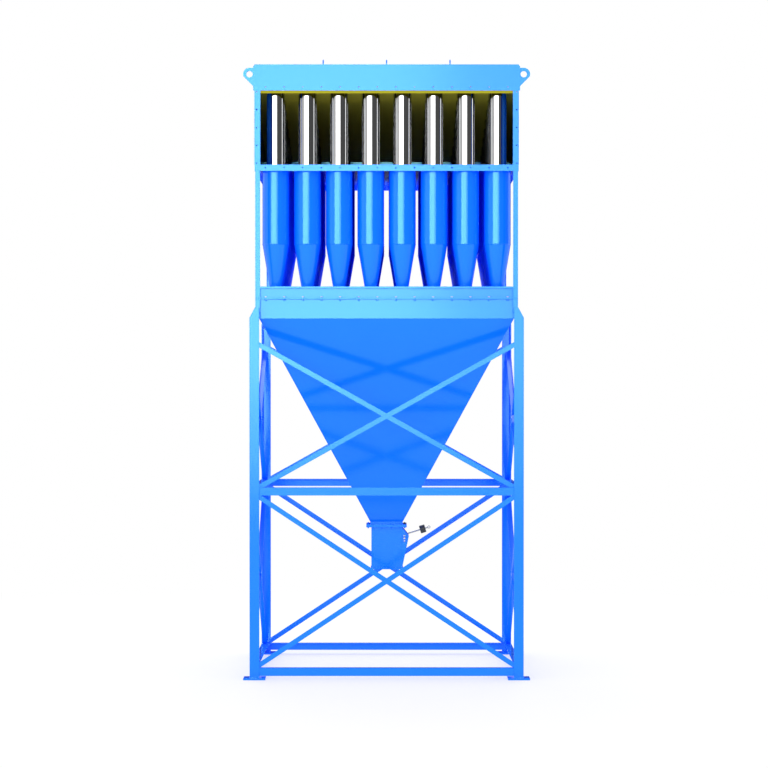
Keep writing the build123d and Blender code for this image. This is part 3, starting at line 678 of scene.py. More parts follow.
PLATED = Surface("zinc_plate", Finish.PLATED_STEEL, (0.32, 0.34, 0.36), (0.26, 0.275, 0.295), roughness=0.3,
                 drift=0.1, metallic=1.0, ior=1.5, relief=0.00003, drawn=True)
IRON = Surface("dark_cast_iron", Finish.DARK_IRON, (0.05, 0.055, 0.05), (0.028, 0.03, 0.03), roughness=0.5,
               drift=0.12, metallic=0.3, ior=1.5, relief=0.0002)
RUBBER = Surface("black_gasket", Finish.DARK_IRON, (0.012, 0.014, 0.018), (0.02, 0.022, 0.026), roughness=0.7,
                 drift=0.1, metallic=0.0, ior=1.45, relief=0.0001, dust=0.05)


@dataclass(frozen=True)
class Coat:
    """A built material with the record's slot that it shows."""

    material: bpy.types.Material
    finish: Finish


class Finishes:
    """Builds every material once and hands them out as coats."""

    def __init__(self) -> None:
        """Builds the node groups and the coats."""
        sprayed, drawn, dust = sprayed_coat_group(), drawn_metal_group(), settled_dust_group()
        self.blue, self.olive, self.olive_edge, self.bright, self.plated, self.iron, self.rubber = (
            Coat(surface.material(drawn if surface.drawn else sprayed, dust), surface.finish)
            for surface in (BLUE, OLIVE_PAINTED_LIGHT, OLIVE_EDGE, BRIGHT, PLATED, IRON, RUBBER)
        )


# Making and dressing pieces


def place_piece(name: str, mesh: bpy.types.Mesh, coat: Coat, body: str, replaces: tuple[str, ...]) -> None:
    """Puts a mesh into the scene as a piece that rides on a body.

    Args:
        name: The piece's name.
        mesh: Its mesh in the row frame.
        coat: Its material and slot.
        body: The body that carries it.
        replaces: The frame's nodes that it stands for.
    """
    mesh.materials.clear()
    mesh.materials.append(coat.material)
    piece = bpy.data.objects.new(name, mesh)
    bpy.context.scene.collection.objects.link(piece)
    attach(piece, body)
    if replaces:
        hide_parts(*replaces)
    log.info("%s: %d faces on %s", name, len(mesh.polygons), body)


def new_piece(name: str, shell: Shell, coat: Coat, body: str = FIXED, replaces: tuple[str, ...] = ()) -> None:
    """Makes a piece of a shell, its gently curved faces shaded smooth.

    Args:
        name: The piece's name.
        shell: Its surface in the row frame.
        coat: Its material and slot.
        body: The body that carries it.
        replaces: The frame's nodes that it stands for.
    """
    mesh = bpy.data.meshes.new(name)
    corner_points = np.concatenate([block.ravel() for block in shell.faces]).astype(np.int32)
    sizes = np.concatenate([np.full(len(block), block.shape[1]) for block in shell.faces])
    starts = np.concatenate([[0], np.cumsum(sizes)[:-1]]).astype(np.int32)
    mesh.vertices.add(len(shell.points))
    mesh.vertices.foreach_set("co", shell.points.astype(np.float32).ravel())
    mesh.loops.add(len(corner_points))
    mesh.loops.foreach_set("vertex_index", corner_points)
    mesh.polygons.add(len(sizes))
    mesh.polygons.foreach_set("loop_start", starts)
    mesh.update(calc_edges=True)
    mesh.validate()
    mesh.shade_smooth()
    mesh.set_sharp_from_angle(angle=SMOOTH_ANGLE)
    place_piece(name, mesh, coat, body, replaces)


def ease_nodes(nodes: tuple[str, ...], coat: Coat, edge: Edge) -> None:
    """Stands in for nodes with copies whose sharp edges are eased, as sheared and rolled steel is.

    Args:
        nodes: The frame's nodes.
        coat: The copies' material and slot.
        edge: How far their edges are eased.
    """
    for node in nodes:
        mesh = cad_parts[node].data.copy()
        mesh.name = f"{node}_eased"
        work = bmesh.new()
        work.from_mesh(mesh)
        bmesh.ops.remove_doubles(work, verts=work.verts, dist=MERGE_DISTANCE)
        bmesh.ops.dissolve_limit(work, angle_limit=FLAT_ANGLE, verts=work.verts, edges=work.edges)
        edges = [line for line in work.edges
                 if len(line.link_faces) == 2 and line.calc_face_angle(0.0) > SHARP_ANGLE]
        bmesh.ops.bevel(work, geom=edges, offset=edge.value, offset_type="OFFSET", segments=2, profile=0.5,
                        affect="EDGES", clamp_overlap=True)
        work.to_mesh(mesh)
        work.free()
        place_piece(f"{node}_eased", mesh, coat, FIXED, (node,))


def dress_node(node: str, coat: Coat) -> None:
    """Gives a node of the frame a material and leaves its mesh alone.

    Args:
        node: The frame's node.
        coat: Its material and slot.
    """
    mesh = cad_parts[node].data
    mesh.materials.clear()
    mesh.materials.append(coat.material)


# Shared sizes


@dataclass(frozen=True)
class Plan:
    """Levels and widths that several sub-assemblies share, read from the frame where it has them."""

    stand_half: float = -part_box("leg_front_left")[0].x
    bay_half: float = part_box("dust_plate")[1].x
    casing_half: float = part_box("lower_tube_sheet")[1].x
    hopper_foot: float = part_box("hopper_front")[0].z
    hopper_top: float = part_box("hopper_front")[1].z
    web_half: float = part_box("hopper_right")[1].x
    band_flange: float = 0.008
    band_foot_top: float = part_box("hopper_skirt")[1].z + band_flange
    cell_foot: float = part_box("dust_plate")[1].z
    cell_head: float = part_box("lower_tube_sheet")[0].z
    casing_floor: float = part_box("lower_tube_sheet")[1].z
    casing_top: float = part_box("roof")[1].z
    cell_pitch: float = 0.26
    cells_across: int = 8
    duct_pitch: float = 0.152
    duct_bolts: int = 14

    def row_offsets(self) -> np.ndarray:
        """The offsets of the duct bolts and flange bolts along a side."""
        return (np.arange(self.duct_bolts) - (self.duct_bolts - 1) / 2) * self.duct_pitch

    def cell_offsets(self) -> np.ndarray:
        """The offsets of the rows of cells from the middle."""
        return (np.arange(self.cells_across) - (self.cells_across - 1) / 2) * self.cell_pitch

    def cell_places(self) -> list[tuple[float, float]]:
        """The middles of the cells, row by row from the front."""
        rows = self.cell_offsets()
        return [(x, y) for y in rows for x in rows]


PLAN = Plan()


# Fasteners


@dataclass(frozen=True)
class Bolt:
    """A hexagon bolt through a joint, its head at the top, with washers, a nut and its thread's end.

    Attributes:
        thread: The thread's diameter.
        flats: Width across the flats.
        head: Height of the head.
        nut: Height of the nut.
        washer: Diameter of the washers.
        washer_height: Their thickness.
        chamfer: Share of the thread that a hexagon's rim is chamfered by.
        rim_ease: How far a disc's rim is eased at most.
        rim_share: Share of a disc's height that its rim is eased by at most.
        stub: Share of the thread that stands out of the nut.
    """

    thread: float
    flats: float
    head: float
    nut: float
    washer: float
    washer_height: float
    chamfer: float = 0.12
    rim_ease: float = 0.0006
    rim_share: float = 0.3
    stub: float = 0.4

    def hexagon(self, low: float, height: float) -> Shell:
        """A hexagon with both rims chamfered, from a level up.

        Args:
            low: Level of its lower face.
            height: Its height.

        Returns:
            The hexagon.
        """
        corner = self.flats / math.sqrt(3)
        ease = self.chamfer * self.thread
        steps = [(corner - ease, low), (corner, low + ease / 2), (corner, low + height - ease / 2),
                 (corner - ease, low + height)]
        return revolve(steps, 6, False)

    def disc(self, radius: float, low: float, height: float) -> Shell:
        """A round disc with an eased rim, from a level up.

        Args:
            radius: Its radius.
            low: Level of its lower face.
            height: Its height.

        Returns:
            The disc.
        """
        ease = min(self.rim_share * height, self.rim_ease)
        steps = [(radius - ease, low), (radius, low + ease), (radius, low + height - ease),
                 (radius - ease, low + height)]
        return revolve(steps, DISC_SEGMENTS, False)

    def capped(self) -> Shell:
        """The head and its washer on a face at level nought.

        Returns:
            The two joined.
        """
        return joined([
            self.disc(self.washer / 2, 0.0, self.washer_height),
            self.hexagon(self.washer_height, self.head),
        ])

    def nutted(self, grip: float) -> Shell:
        """The washer, the nut and the thread's end under a joint whose top is at level nought.

        Args:
            grip: Thickness of the joint.

        Returns:
            The three joined.
        """
        below = -grip - self.washer_height
        stub = self.stub * self.thread
        return joined([
            self.disc(self.washer / 2, below, self.washer_height),
            self.hexagon(below - self.nut, self.nut),
            self.disc(self.thread / 2, below - self.nut - stub, stub),
        ])


COVER_BOLT = Bolt(0.008, 0.013, 0.0053, 0.0065, 0.016, 0.0016)
FLANGE_BOLT = Bolt(0.01, 0.016, 0.0064, 0.008, 0.02, 0.002)


# Sub-assemblies


@dataclass
class Stand:
    """The angle-iron stand: base plates, legs, beams, braces and packers, with root radii and welds."""

    finishes: Finishes
    leg_size: float = 0.08
    leg_thickness: float = 0.008
    leg_slant: float = 0.09
    beam_size: float = 0.065
    beam_thickness: float = 0.006
    root: float = 0.010
    beam_root: float = 0.007
    butt_weld: float = 0.002
    butt_sink: float = 0.0005

    def build(self) -> None:
        """Dresses the stand's members and adds root radii and welds."""
        blue = self.finishes.blue
        ease_nodes(("leg_front_left", "leg_front_right", "leg_back_left", "leg_back_right"), blue, Edge.LEG)
        ease_nodes(("bottom_beams", "mid_beams", "base_plates"), blue, Edge.BEAM)
        ease_nodes(("upper_braces_rising", "upper_braces_falling", "lower_braces_rising",
                    "lower_braces_falling", "skirt_packers"), blue, Edge.SHEET)
        new_piece("rolled_roots", self.roots(), blue)
        new_piece("stand_welds", self.welds(), blue)

    def roots(self) -> Shell:
        """The root radii of the legs and the beams, for one side and repeated round the plan.

        Returns:
            All the fillets as one shell.
        """
        inside = PLAN.stand_half - self.leg_thickness
        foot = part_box("base_plates")[1].z
        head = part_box("leg_front_left")[1].z - self.leg_slant
        fillets = [root_fillet((-inside, -inside, foot), (-inside, -inside, head), X_AXIS, Y_AXIS, self.root)]
        reach = PLAN.stand_half - self.leg_size
        face = -PLAN.stand_half + self.beam_thickness
        for node in ("bottom_beams", "mid_beams"):
            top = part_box(node)[1].z - self.beam_thickness
            fillets.append(root_fillet((-reach, face, top), (reach, face, top), Y_AXIS, -Z_AXIS,
                                       self.beam_root))
        return joined(fillets).round_the_plan()

    def welds(self) -> Shell:
        """Beads at the legs' feet and at the beams' ends, round the plan.

        Returns:
            All the beads as one shell.
        """
        half, toe = PLAN.stand_half, PLAN.stand_half - self.leg_size
        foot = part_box("base_plates")[1].z
        inside = half - self.leg_thickness
        beads = [
            bead((-half, -half, foot), (-toe, -half, foot), -Y_AXIS, Z_AXIS),
            bead((-half, -half, foot), (-half, -toe, foot), -X_AXIS, Z_AXIS),
            bead((-inside + self.root, -inside, foot), (-toe, -inside, foot), Y_AXIS, Z_AXIS),
            bead((-inside, -inside + self.root, foot), (-inside, -toe, foot), X_AXIS, Z_AXIS),
        ]
        inner = -half + self.beam_size
        for node in ("bottom_beams", "mid_beams"):
            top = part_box(node)[1].z
            low, level = top - self.beam_size, top - self.butt_sink
            for x, way in ((-toe, X_AXIS), (toe, -X_AXIS)):
                beads.append(bead((x, -half, low), (x, -half, top), X_AXIS, -Y_AXIS, BeadForm.RIDGE,
                                  self.butt_weld))
                beads.append(bead((x, -inside, level), (x, inner, level), way, Z_AXIS, BeadForm.RIDGE,
                                  self.butt_weld))
        return joined(beads).round_the_plan()


@dataclass
class Hopper:
    """The hopper with its skirt, outlet and the bolted dust flange."""

    finishes: Finishes
    mouth_half: float = 0.137
    flange_width: float = 0.035
    outlet_bolt_line: float = 0.156
    outlet_bolts: tuple[float, ...] = (-0.117, -0.039, 0.039, 0.117)
    band_grip: float = 0.016
    outlet_grip: float = 0.024
    seam_weld: float = 0.003
    skirt_weld: float = 0.0025
    skirt_corner: float = 0.045

    def build(self) -> None:
        """Dresses the hopper's plates and adds seams, welds and flange bolts."""
        blue = self.finishes.blue
        ease_nodes(("hopper_front", "hopper_right", "hopper_back", "hopper_left", "hopper_skirt",
                    "skirt_corners", "hopper_outlet", "valve_flange", "dust_band", "band_corners",
                    "dust_plate", "bay_posts"), blue, Edge.SHEET)
        new_piece("hopper_welds", self.welds(), blue)
        band = self.band_bolt_places()
        heads = FLANGE_BOLT.capped().repeated(band).round_the_plan()
        nuts = FLANGE_BOLT.nutted(self.band_grip).repeated(band).round_the_plan()
        new_piece("dust_flange_bolts", heads, self.finishes.plated)
        new_piece("dust_flange_nuts", nuts, blue)
        outlet = self.outlet_bolt_places()
        heads = COVER_BOLT.capped().repeated(outlet)
        nuts = COVER_BOLT.nutted(self.outlet_grip).repeated(outlet).round_the_plan()
        front, right, back, left = (heads.turned(turn) for turn in QUARTER_TURNS)
        new_piece("outlet_flange_bolts", joined([front, back, left]), blue)
        new_piece("outlet_flange_bolts_right", right, self.finishes.iron)
        new_piece("outlet_flange_nuts", nuts, blue)

    def outlet_top(self) -> float:
        """The level of the outlet flange's upper face."""
        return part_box("hopper_outlet")[0].z + self.outlet_grip / 2

    def welds(self) -> Shell:
        """The hopper's corner seams, and the beads under the skirt, over the neck and on its flange.

        Returns:
            All the beads as one shell.
        """
        low, high, top = PLAN.hopper_foot, PLAN.hopper_top, self.outlet_top()
        mouth, web = self.mouth_half, PLAN.web_half
        reach = web - self.skirt_corner
        beads = [
            bead((-mouth, -mouth, low), (-web, -web, high), X_AXIS, Y_AXIS, BeadForm.RIDGE, self.seam_weld),
            bead((-reach, -web, high), (reach, -web, high), -Y_AXIS, Z_AXIS, BeadForm.RIDGE,
                 self.skirt_weld),
            bead((-mouth, -mouth, low), (mouth, -mouth, low), -Y_AXIS, Z_AXIS, BeadForm.RIDGE,
                 self.seam_weld),
            bead((-mouth, -mouth, top), (mouth, -mouth, top), -Y_AXIS, Z_AXIS),
        ]
        return joined(beads).round_the_plan()

    def band_bolt_places(self) -> np.ndarray:
        """The bolts' places on the front joint between the skirt and the band."""
        line = PLAN.bay_half - self.flange_width / 2
        return np.array([(x, -line, PLAN.band_foot_top) for x in PLAN.row_offsets()])

    def outlet_bolt_places(self) -> np.ndarray:
        """The bolts' places on the front of the hopper's outlet flange."""
        return np.array([(x, -self.outlet_bolt_line, self.outlet_top()) for x in self.outlet_bolts])


@dataclass
class CycloneBank:
    """Sixty-four cyclones: a straight body, a cone, and rings of weld at the joints.

    Attributes:
        finishes: The coats.
        body_radius: Radius of the straight body.
        foot_radius: Radius of the cone's lower end.
        cone_height: Height of the cone.
        wall: Thickness of the wall.
        bead: Size of the rings of weld, in which the next three give steps outwards and upwards.
        foot_ring: Steps round the ring on the dust plate.
        joint_ring: Steps round the ring between cone and body.
        head_ring: Steps round the ring under the tube sheet.
        groups: Number of pieces that the rows are shared out to.
    """

    finishes: Finishes
    body_radius: float = 0.10955
    foot_radius: float = 0.0505
    cone_height: float = 0.348
    wall: float = 0.003
    bead: float = 0.0028
    foot_ring: tuple[tuple[float, float], ...] = ((1.6, 0.0), (1.2, 0.7), (0.3, 1.6))
    joint_ring: tuple[tuple[float, float], ...] = (
        (-0.4, -1.4), (0.5, -0.8), (0.7, 0.0), (0.5, 0.8), (0.0, 1.3))
    head_ring: tuple[tuple[float, float], ...] = ((0.0, -1.6), (1.2, -0.7), (1.6, 0.0))
    groups: int = 4

    def build(self) -> None:
        """Makes the cells in groups of two rows."""
        places = np.array([(x, y, 0.0) for x, y in PLAN.cell_places()])
        for number, group in enumerate(np.split(places, self.groups), 1):
            new_piece(f"cyclone_rows_{number}", self.cell().repeated(group), self.finishes.blue,
                      replaces=(f"cyclones_{number}",))

    def cell(self) -> Shell:
        """One cell as a turned hollow wall, from the dust plate to the tube sheet.

        Returns:
            The cell round the vertical axis.
        """
        low, joint, high = PLAN.cell_foot, PLAN.cell_foot + self.cone_height, PLAN.cell_head
        foot, body = self.foot_radius, self.body_radius
        rings = ((foot, low, self.foot_ring), (body, joint, self.joint_ring), (body, high, self.head_ring))
        outside = [(radius + out * self.bead, level + up * self.bead)
                   for radius, level, ring in rings for out, up in ring]
        inside = [(body - self.wall, high), (body - self.wall, joint), (foot - self.wall, low)]
        return revolve(outside + inside, ROUND_SEGMENTS, True)


@dataclass
class GasChamber:
    """The outlet tubes, the tube sheets that they pass through and the swirl vanes round them."""

    finishes: Finishes
    groups: int = 4
    tube_radius: float = 0.074
    tube_wall: float = 0.003
    tube_tail: float = 0.15
    tube_rim: float = 0.012
    tube_gap: float = 0.0004
    mouth_radius: float = 0.1066
    mouth_segments: int = 36
    vanes: int = 8
    vane_height: float = 0.07
    vane_thickness: float = 0.002
    vane_twist: float = 50.0
    vane_steps: int = 6
    vane_drop: float = 0.004
    vane_root: float = 0.001
    vane_tip: float = 0.0005
    sheet_thickness: float = 0.00613
    lip_shows: float = 0.022

    def build(self) -> None:
        """Makes tubes, sheets and vanes."""
        blue, olive = self.finishes.blue, self.finishes.olive
        places = np.array(PLAN.cell_places())
        for number, group in enumerate(np.split(places, self.groups), 1):
            new_piece(f"outlet_tube_rows_{number}", joined([self.tube(x, y) for x, y in group]),
                      self.finishes.bright, replaces=(f"outlet_tubes_{number}",))
        new_piece("lower_sheet_drilled", self.lower_sheet(), blue, replaces=("lower_tube_sheet",))
        # The inclined sheet takes the brightened olive, which is painted light; the lip takes the darker
        # copy.
        new_piece("inclined_sheet_drilled", self.inclined_sheet(), olive, replaces=("inclined_tube_sheet",))
        new_piece("inclined_sheet_lip", self.front_lip(), self.finishes.olive_edge)
        new_piece("swirl_vanes", self.vane_ring().repeated([(x, y, 0.0) for x, y in places]), blue)

    def sheet_level(self, y: np.ndarray) -> np.ndarray:
        """The underside of the inclined sheet: a straight fall from the front to the back.

        Args:
            y: Places from front to back.

        Returns:
            The level at each place.
        """
        low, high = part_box("inclined_tube_sheet")
        fall = (high.z - self.sheet_thickness - low.z) / (high.y - low.y)
        return high.z - self.sheet_thickness - (y - low.y) * fall

    def tube(self, x: float, y: float) -> Shell:
        """An open tube whose upper end is cut level with the inclined sheet.

        A point at share t of the height is at t times the way from the tail to the cut, and the
        cut is the rim's height over the sheet's underside.

        Args:
            x: The tube's middle.
            y: The tube's middle.

        Returns:
            The tube's closed wall.
        """
        outer, inner = self.tube_radius, self.tube_radius - self.tube_wall
        shell = revolve([(outer, 0.0), (outer, 1.0), (inner, 1.0), (inner, 0.0)], ROUND_SEGMENTS, True)
        points = shell.points + (x, y, 0.0)
        low = PLAN.cell_head - self.tube_tail
        high = self.sheet_level(points[:, 1]) + self.tube_rim
        points[:, 2] = low + points[:, 2] * (high - low)
        return Shell(points, shell.faces)

    def lower_sheet(self) -> Shell:
        """The lower tube sheet with a round mouth over every cell.

        Returns:
            The drilled sheet.
        """
        half = PLAN.casing_half
        holes = [circle(place, self.mouth_radius, self.mouth_segments) for place in PLAN.cell_places()]
        plate = drilled_plate(rectangle(-half, half, -half, half), holes, PLAN.casing_floor - PLAN.cell_head)
        return plate.moved((0.0, 0.0, PLAN.cell_head))

    def inclined_sheet(self) -> Shell:
        """The inclined sheet: a flat drilled plate sheared so that its height follows the fall.

        Returns:
            The drilled sheet.
        """
        low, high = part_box("inclined_tube_sheet")
        radius = self.tube_radius + self.tube_gap
        holes = [circle(place, radius, ROUND_SEGMENTS) for place in PLAN.cell_places()]
        plate = drilled_plate(rectangle(low.x, high.x, low.y, high.y), holes, self.sheet_thickness)
        points = plate.points.copy()
        points[:, 2] += self.sheet_level(points[:, 1])
        return Shell(points, plate.faces)

    def front_lip(self) -> Shell:
        """The strip turned down along the inclined sheet's front edge, which shows under the header.

        Returns:
            The strip.
        """
        low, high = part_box("inclined_tube_sheet")
        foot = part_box("inlet_header")[0].z - self.lip_shows
        head = high.z - 2 * self.sheet_thickness
        strip = drilled_plate(rectangle(low.x, high.x, foot, head), [], self.sheet_thickness)
        return standing(strip, low.y + self.sheet_thickness)

    def vane_ring(self) -> Shell:
        """The twisted blades between the tube and the mouth.

        The point at share s of the blade's height and at radius r stands at the turn
        a plus the twist times s, a little below the sheet's top.

        Returns:
            The blades of one tube, round the vertical axis.
        """
        height = np.linspace(0, 1, self.vane_steps)
        root, tip = self.tube_radius - self.vane_root, self.mouth_radius + self.vane_tip
        level = PLAN.casing_floor - self.vane_drop - self.vane_height * (1 - height)
        faces = [grid_faces(len(height), 4, False, True)] + end_caps(len(height), 4)
        shells = []
        for start in np.arange(self.vanes) * 2 * math.pi / self.vanes:
            angle = start + math.radians(self.vane_twist) * height
            corners = [
                np.stack([radius * np.cos(angle), radius * np.sin(angle), level + lift], axis=1)
                for lift, radius in ((0.0, root), (0.0, tip), (self.vane_thickness, tip),
                                     (self.vane_thickness, root))
            ]
            shells.append(Shell(np.stack(corners, axis=1).reshape(-1, 3), faces))
        return joined(shells)


@dataclass
class Casing:
    """The gas casing: walls, roof, inlet and outlet flanges, lugs and eyes."""

    finishes: Finishes
    hole: float = 0.006
    jamb_width: float = 0.047
    jamb_line: float = 0.017
    jamb_end: float = 0.012
    jamb_holes: int = 5
    header_corner: float = 0.016
    header_line: float = 0.029
    sill_thickness: float = 0.005
    sill_line: float = 0.025
    outlet_sill: float = 0.05
    outlet_head: float = 0.056
    outlet_holes: tuple[int, int] = (7, 2)
    lug_radius: float = 0.052
    lug_hole: float = 0.026
    lug_reach: float = 0.041
    lug_depth: float = 0.109
    lug_thickness: float = 0.012
    lug_blend: float = 22.0
    lug_weld: float = 0.161
    eye_hole: float = 0.011
    eye_thickness: float = 0.010
    eye_weld: float = 0.004
    seam_weld: float = 0.0015
    seam_inset: float = 0.006
    roof_drop: float = 0.003
    seam_stop: float = 0.2

    def build(self) -> None:
        """Dresses the walls and makes the drilled flanges, lugs and eyes."""
        blue = self.finishes.blue
        ease_nodes(("sheet_edges", "casing_left", "casing_right", "casing_back", "roof"), blue, Edge.SHEET)
        for name, shell, node in (
            ("inlet_header_drilled", self.header(), "inlet_header"),
            ("inlet_jambs_drilled", self.jambs(), "inlet_jambs"),
            ("inlet_sill_drilled", self.sill(), "inlet_sill"),
            ("outlet_frame_drilled", self.outlet(), "outlet_frame"),
            ("lifting_lugs_rounded", self.lugs(), "lifting_lugs"),
            ("roof_eyes_rounded", self.eyes(), "roof_eyes"),
        ):
            new_piece(name, shell, blue, replaces=(node,))
        new_piece("casing_welds", self.welds(), blue)

    def header(self) -> Shell:
        """The header over the inlet, its upper corners cut off, with its row of bolt holes.

        Returns:
            The drilled header.
        """
        low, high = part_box("inlet_header")
        cut = self.header_corner
        outline = np.array([
            (low.x, low.z), (high.x, low.z), (high.x, high.z - cut), (high.x - cut, high.z),
            (low.x + cut, high.z), (low.x, high.z - cut),
        ])
        holes = [circle((x, low.z + self.header_line), self.hole) for x in PLAN.row_offsets()]
        return standing(drilled_plate(outline, holes, high.y - low.y), high.y)

    def jambs(self) -> Shell:
        """Both jambs of the inlet, each with five bolt holes.

        Returns:
            Both drilled jambs.
        """
        low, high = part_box("inlet_jambs")
        levels = np.linspace(low.z + self.jamb_end, high.z - self.jamb_end, self.jamb_holes)
        line, width = high.x - self.jamb_line, self.jamb_width
        shells = []
        for left, right, x in ((low.x, low.x + width, -line), (high.x - width, high.x, line)):
            holes = [circle((x, z), self.hole) for z in levels]
            plate = drilled_plate(rectangle(left, right, low.z, high.z), holes, high.y - low.y)
            shells.append(standing(plate, high.y))
        return joined(shells)

    def sill(self) -> Shell:
        """The inlet's sill: a mitred angle whose upright flange has the row of bolt holes.

        Returns:
            The drilled sill.
        """
        low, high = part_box("inlet_sill")
        thickness, reach = self.sill_thickness, high.y - low.y
        level = PLAN.casing_floor - self.sill_line
        holes = [circle((x, level), self.hole) for x in PLAN.row_offsets()]
        upright = drilled_plate(rectangle(low.x, high.x, low.z, high.z), holes, thickness)
        shelf = np.array([
            (low.x + thickness, low.y + thickness), (high.x - thickness, low.y + thickness),
            (high.x - reach, high.y), (low.x + reach, high.y),
        ])
        flat = drilled_plate(shelf, [], thickness).moved((0.0, 0.0, high.z - thickness))
        return joined([standing(upright, low.y + thickness), flat])

    def outlet(self) -> Shell:
        """The clean gas outlet's frame at the back with its bolt holes.

        Returns:
            The drilled frame.
        """
        low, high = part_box("outlet_frame")
        sill, head = low.z + self.outlet_sill, high.z - self.outlet_head
        opening = rectangle(low.x + self.jamb_width, high.x - self.jamb_width, sill, head)
        columns, rows = self.outlet_holes
        along = (np.arange(columns) - (columns - 1) // 2) * 2 * PLAN.duct_pitch
        levels = np.linspace(sill, head, rows + 2)[1:-1]
        line = high.x - self.jamb_line
        places = [(x, z) for z in (sill - self.sill_line, head + self.sill_line) for x in along]
        places += [(x, z) for z in levels for x in (-line, line)]
        outlines = [opening] + [circle(place, self.hole) for place in places]
        outline = rectangle(low.x, high.x, low.z, high.z)
        return standing(drilled_plate(outline, outlines, high.y - low.y), high.y)

    def lugs(self) -> Shell:
        """Four lifting lugs: a round eye that runs down on a slant into the casing's side.

        Returns:
            The four lugs.
        """
        low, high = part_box("lifting_lugs")
        half, radius, thickness = PLAN.casing_half, self.lug_radius, self.lug_thickness
        x, z = half + self.lug_reach, high.z - radius
        foot = z - self.lug_depth
        lean = math.degrees(math.atan2(z - foot, x + radius - half))
        outline = np.concatenate([
            [(half, foot)], arc((x, z), radius, lean - 90 + self.lug_blend, 90, LUG_STEPS),
            [(half, z + radius)],
        ])
        plate = drilled_plate(outline, [circle((x, z), self.lug_hole, SMALL_SEGMENTS)], thickness)
        front = standing(plate, low.y + thickness)
        pair = [front, front.mirrored(0)]
        return joined(pair + [shell.mirrored(1) for shell in pair])

    def eyes(self) -> Shell:
        """Three small upright eyes on the roof, near the front edge.

        Returns:
            The three eyes.
        """
        low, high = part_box("roof_eyes")
        radius, thickness = (high.y - low.y) / 2, self.eye_thickness
        middle = (low.y + high.y) / 2
        centre = high.z - radius
        outline = np.concatenate([
            [(middle - radius, low.z), (middle + radius, low.z)],
            arc((middle, centre), radius, 0, 180, HOLE_SEGMENTS),
        ])
        plate = drilled_plate(outline, [circle((middle, centre), self.eye_hole)], thickness)
        turn = np.array(((0.0, 0.0, 1.0), (1.0, 0.0, 0.0), (0.0, 1.0, 0.0)))
        upright = plate.turned(turn).moved((-thickness / 2, 0.0, 0.0))
        return upright.repeated([(x, 0.0, 0.0) for x in self.eye_places()])

    def eye_places(self) -> tuple[float, float, float]:
        """The middles of the roof's eyes along its front edge.

        Returns:
            Three places along x.
        """
        low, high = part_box("roof_eyes")
        spacing = (high.x - low.x - self.eye_thickness) / 2
        return -spacing, 0.0, spacing

    def welds(self) -> Shell:
        """Beads along the roof's edges, the casing's corners, the lugs and the eyes.

        Returns:
            All the beads as one shell.
        """
        floor, top = PLAN.casing_floor, PLAN.casing_top
        front = -PLAN.casing_half + self.seam_inset
        lugs_low, lugs_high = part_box("lifting_lugs")
        lug_sides = ((lugs_low.y + self.lug_thickness, Y_AXIS), (lugs_high.y - self.lug_thickness, -Y_AXIS),
                     (lugs_high.y, Y_AXIS))
        beads = []
        for side in (-1.0, 1.0):
            x = side * PLAN.casing_half
            for level in (top - self.roof_drop, floor):
                beads.append(bead((x, front, level), (x, -front, level), X_AXIS, Z_AXIS, BeadForm.RIDGE,
                                  self.seam_weld))
            for y in (front, -front):
                beads.append(bead((x, y, floor), (x, y, top - self.seam_stop), X_AXIS, Y_AXIS,
                                  BeadForm.RIDGE, self.seam_weld))
            for y, way in lug_sides:
                beads.append(bead((x, y, lugs_high.z - self.lug_weld), (x, y, lugs_high.z),
                                  side * X_AXIS, way))
        low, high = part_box("roof_eyes")
        for middle in self.eye_places():
            for side in (-1.0, 1.0):
                x = middle + side * self.eye_thickness / 2
                beads.append(bead((x, low.y, top), (x, high.y, top), side * X_AXIS, Z_AXIS,
                                  BeadForm.FILLET, self.eye_weld))
        return joined(beads)


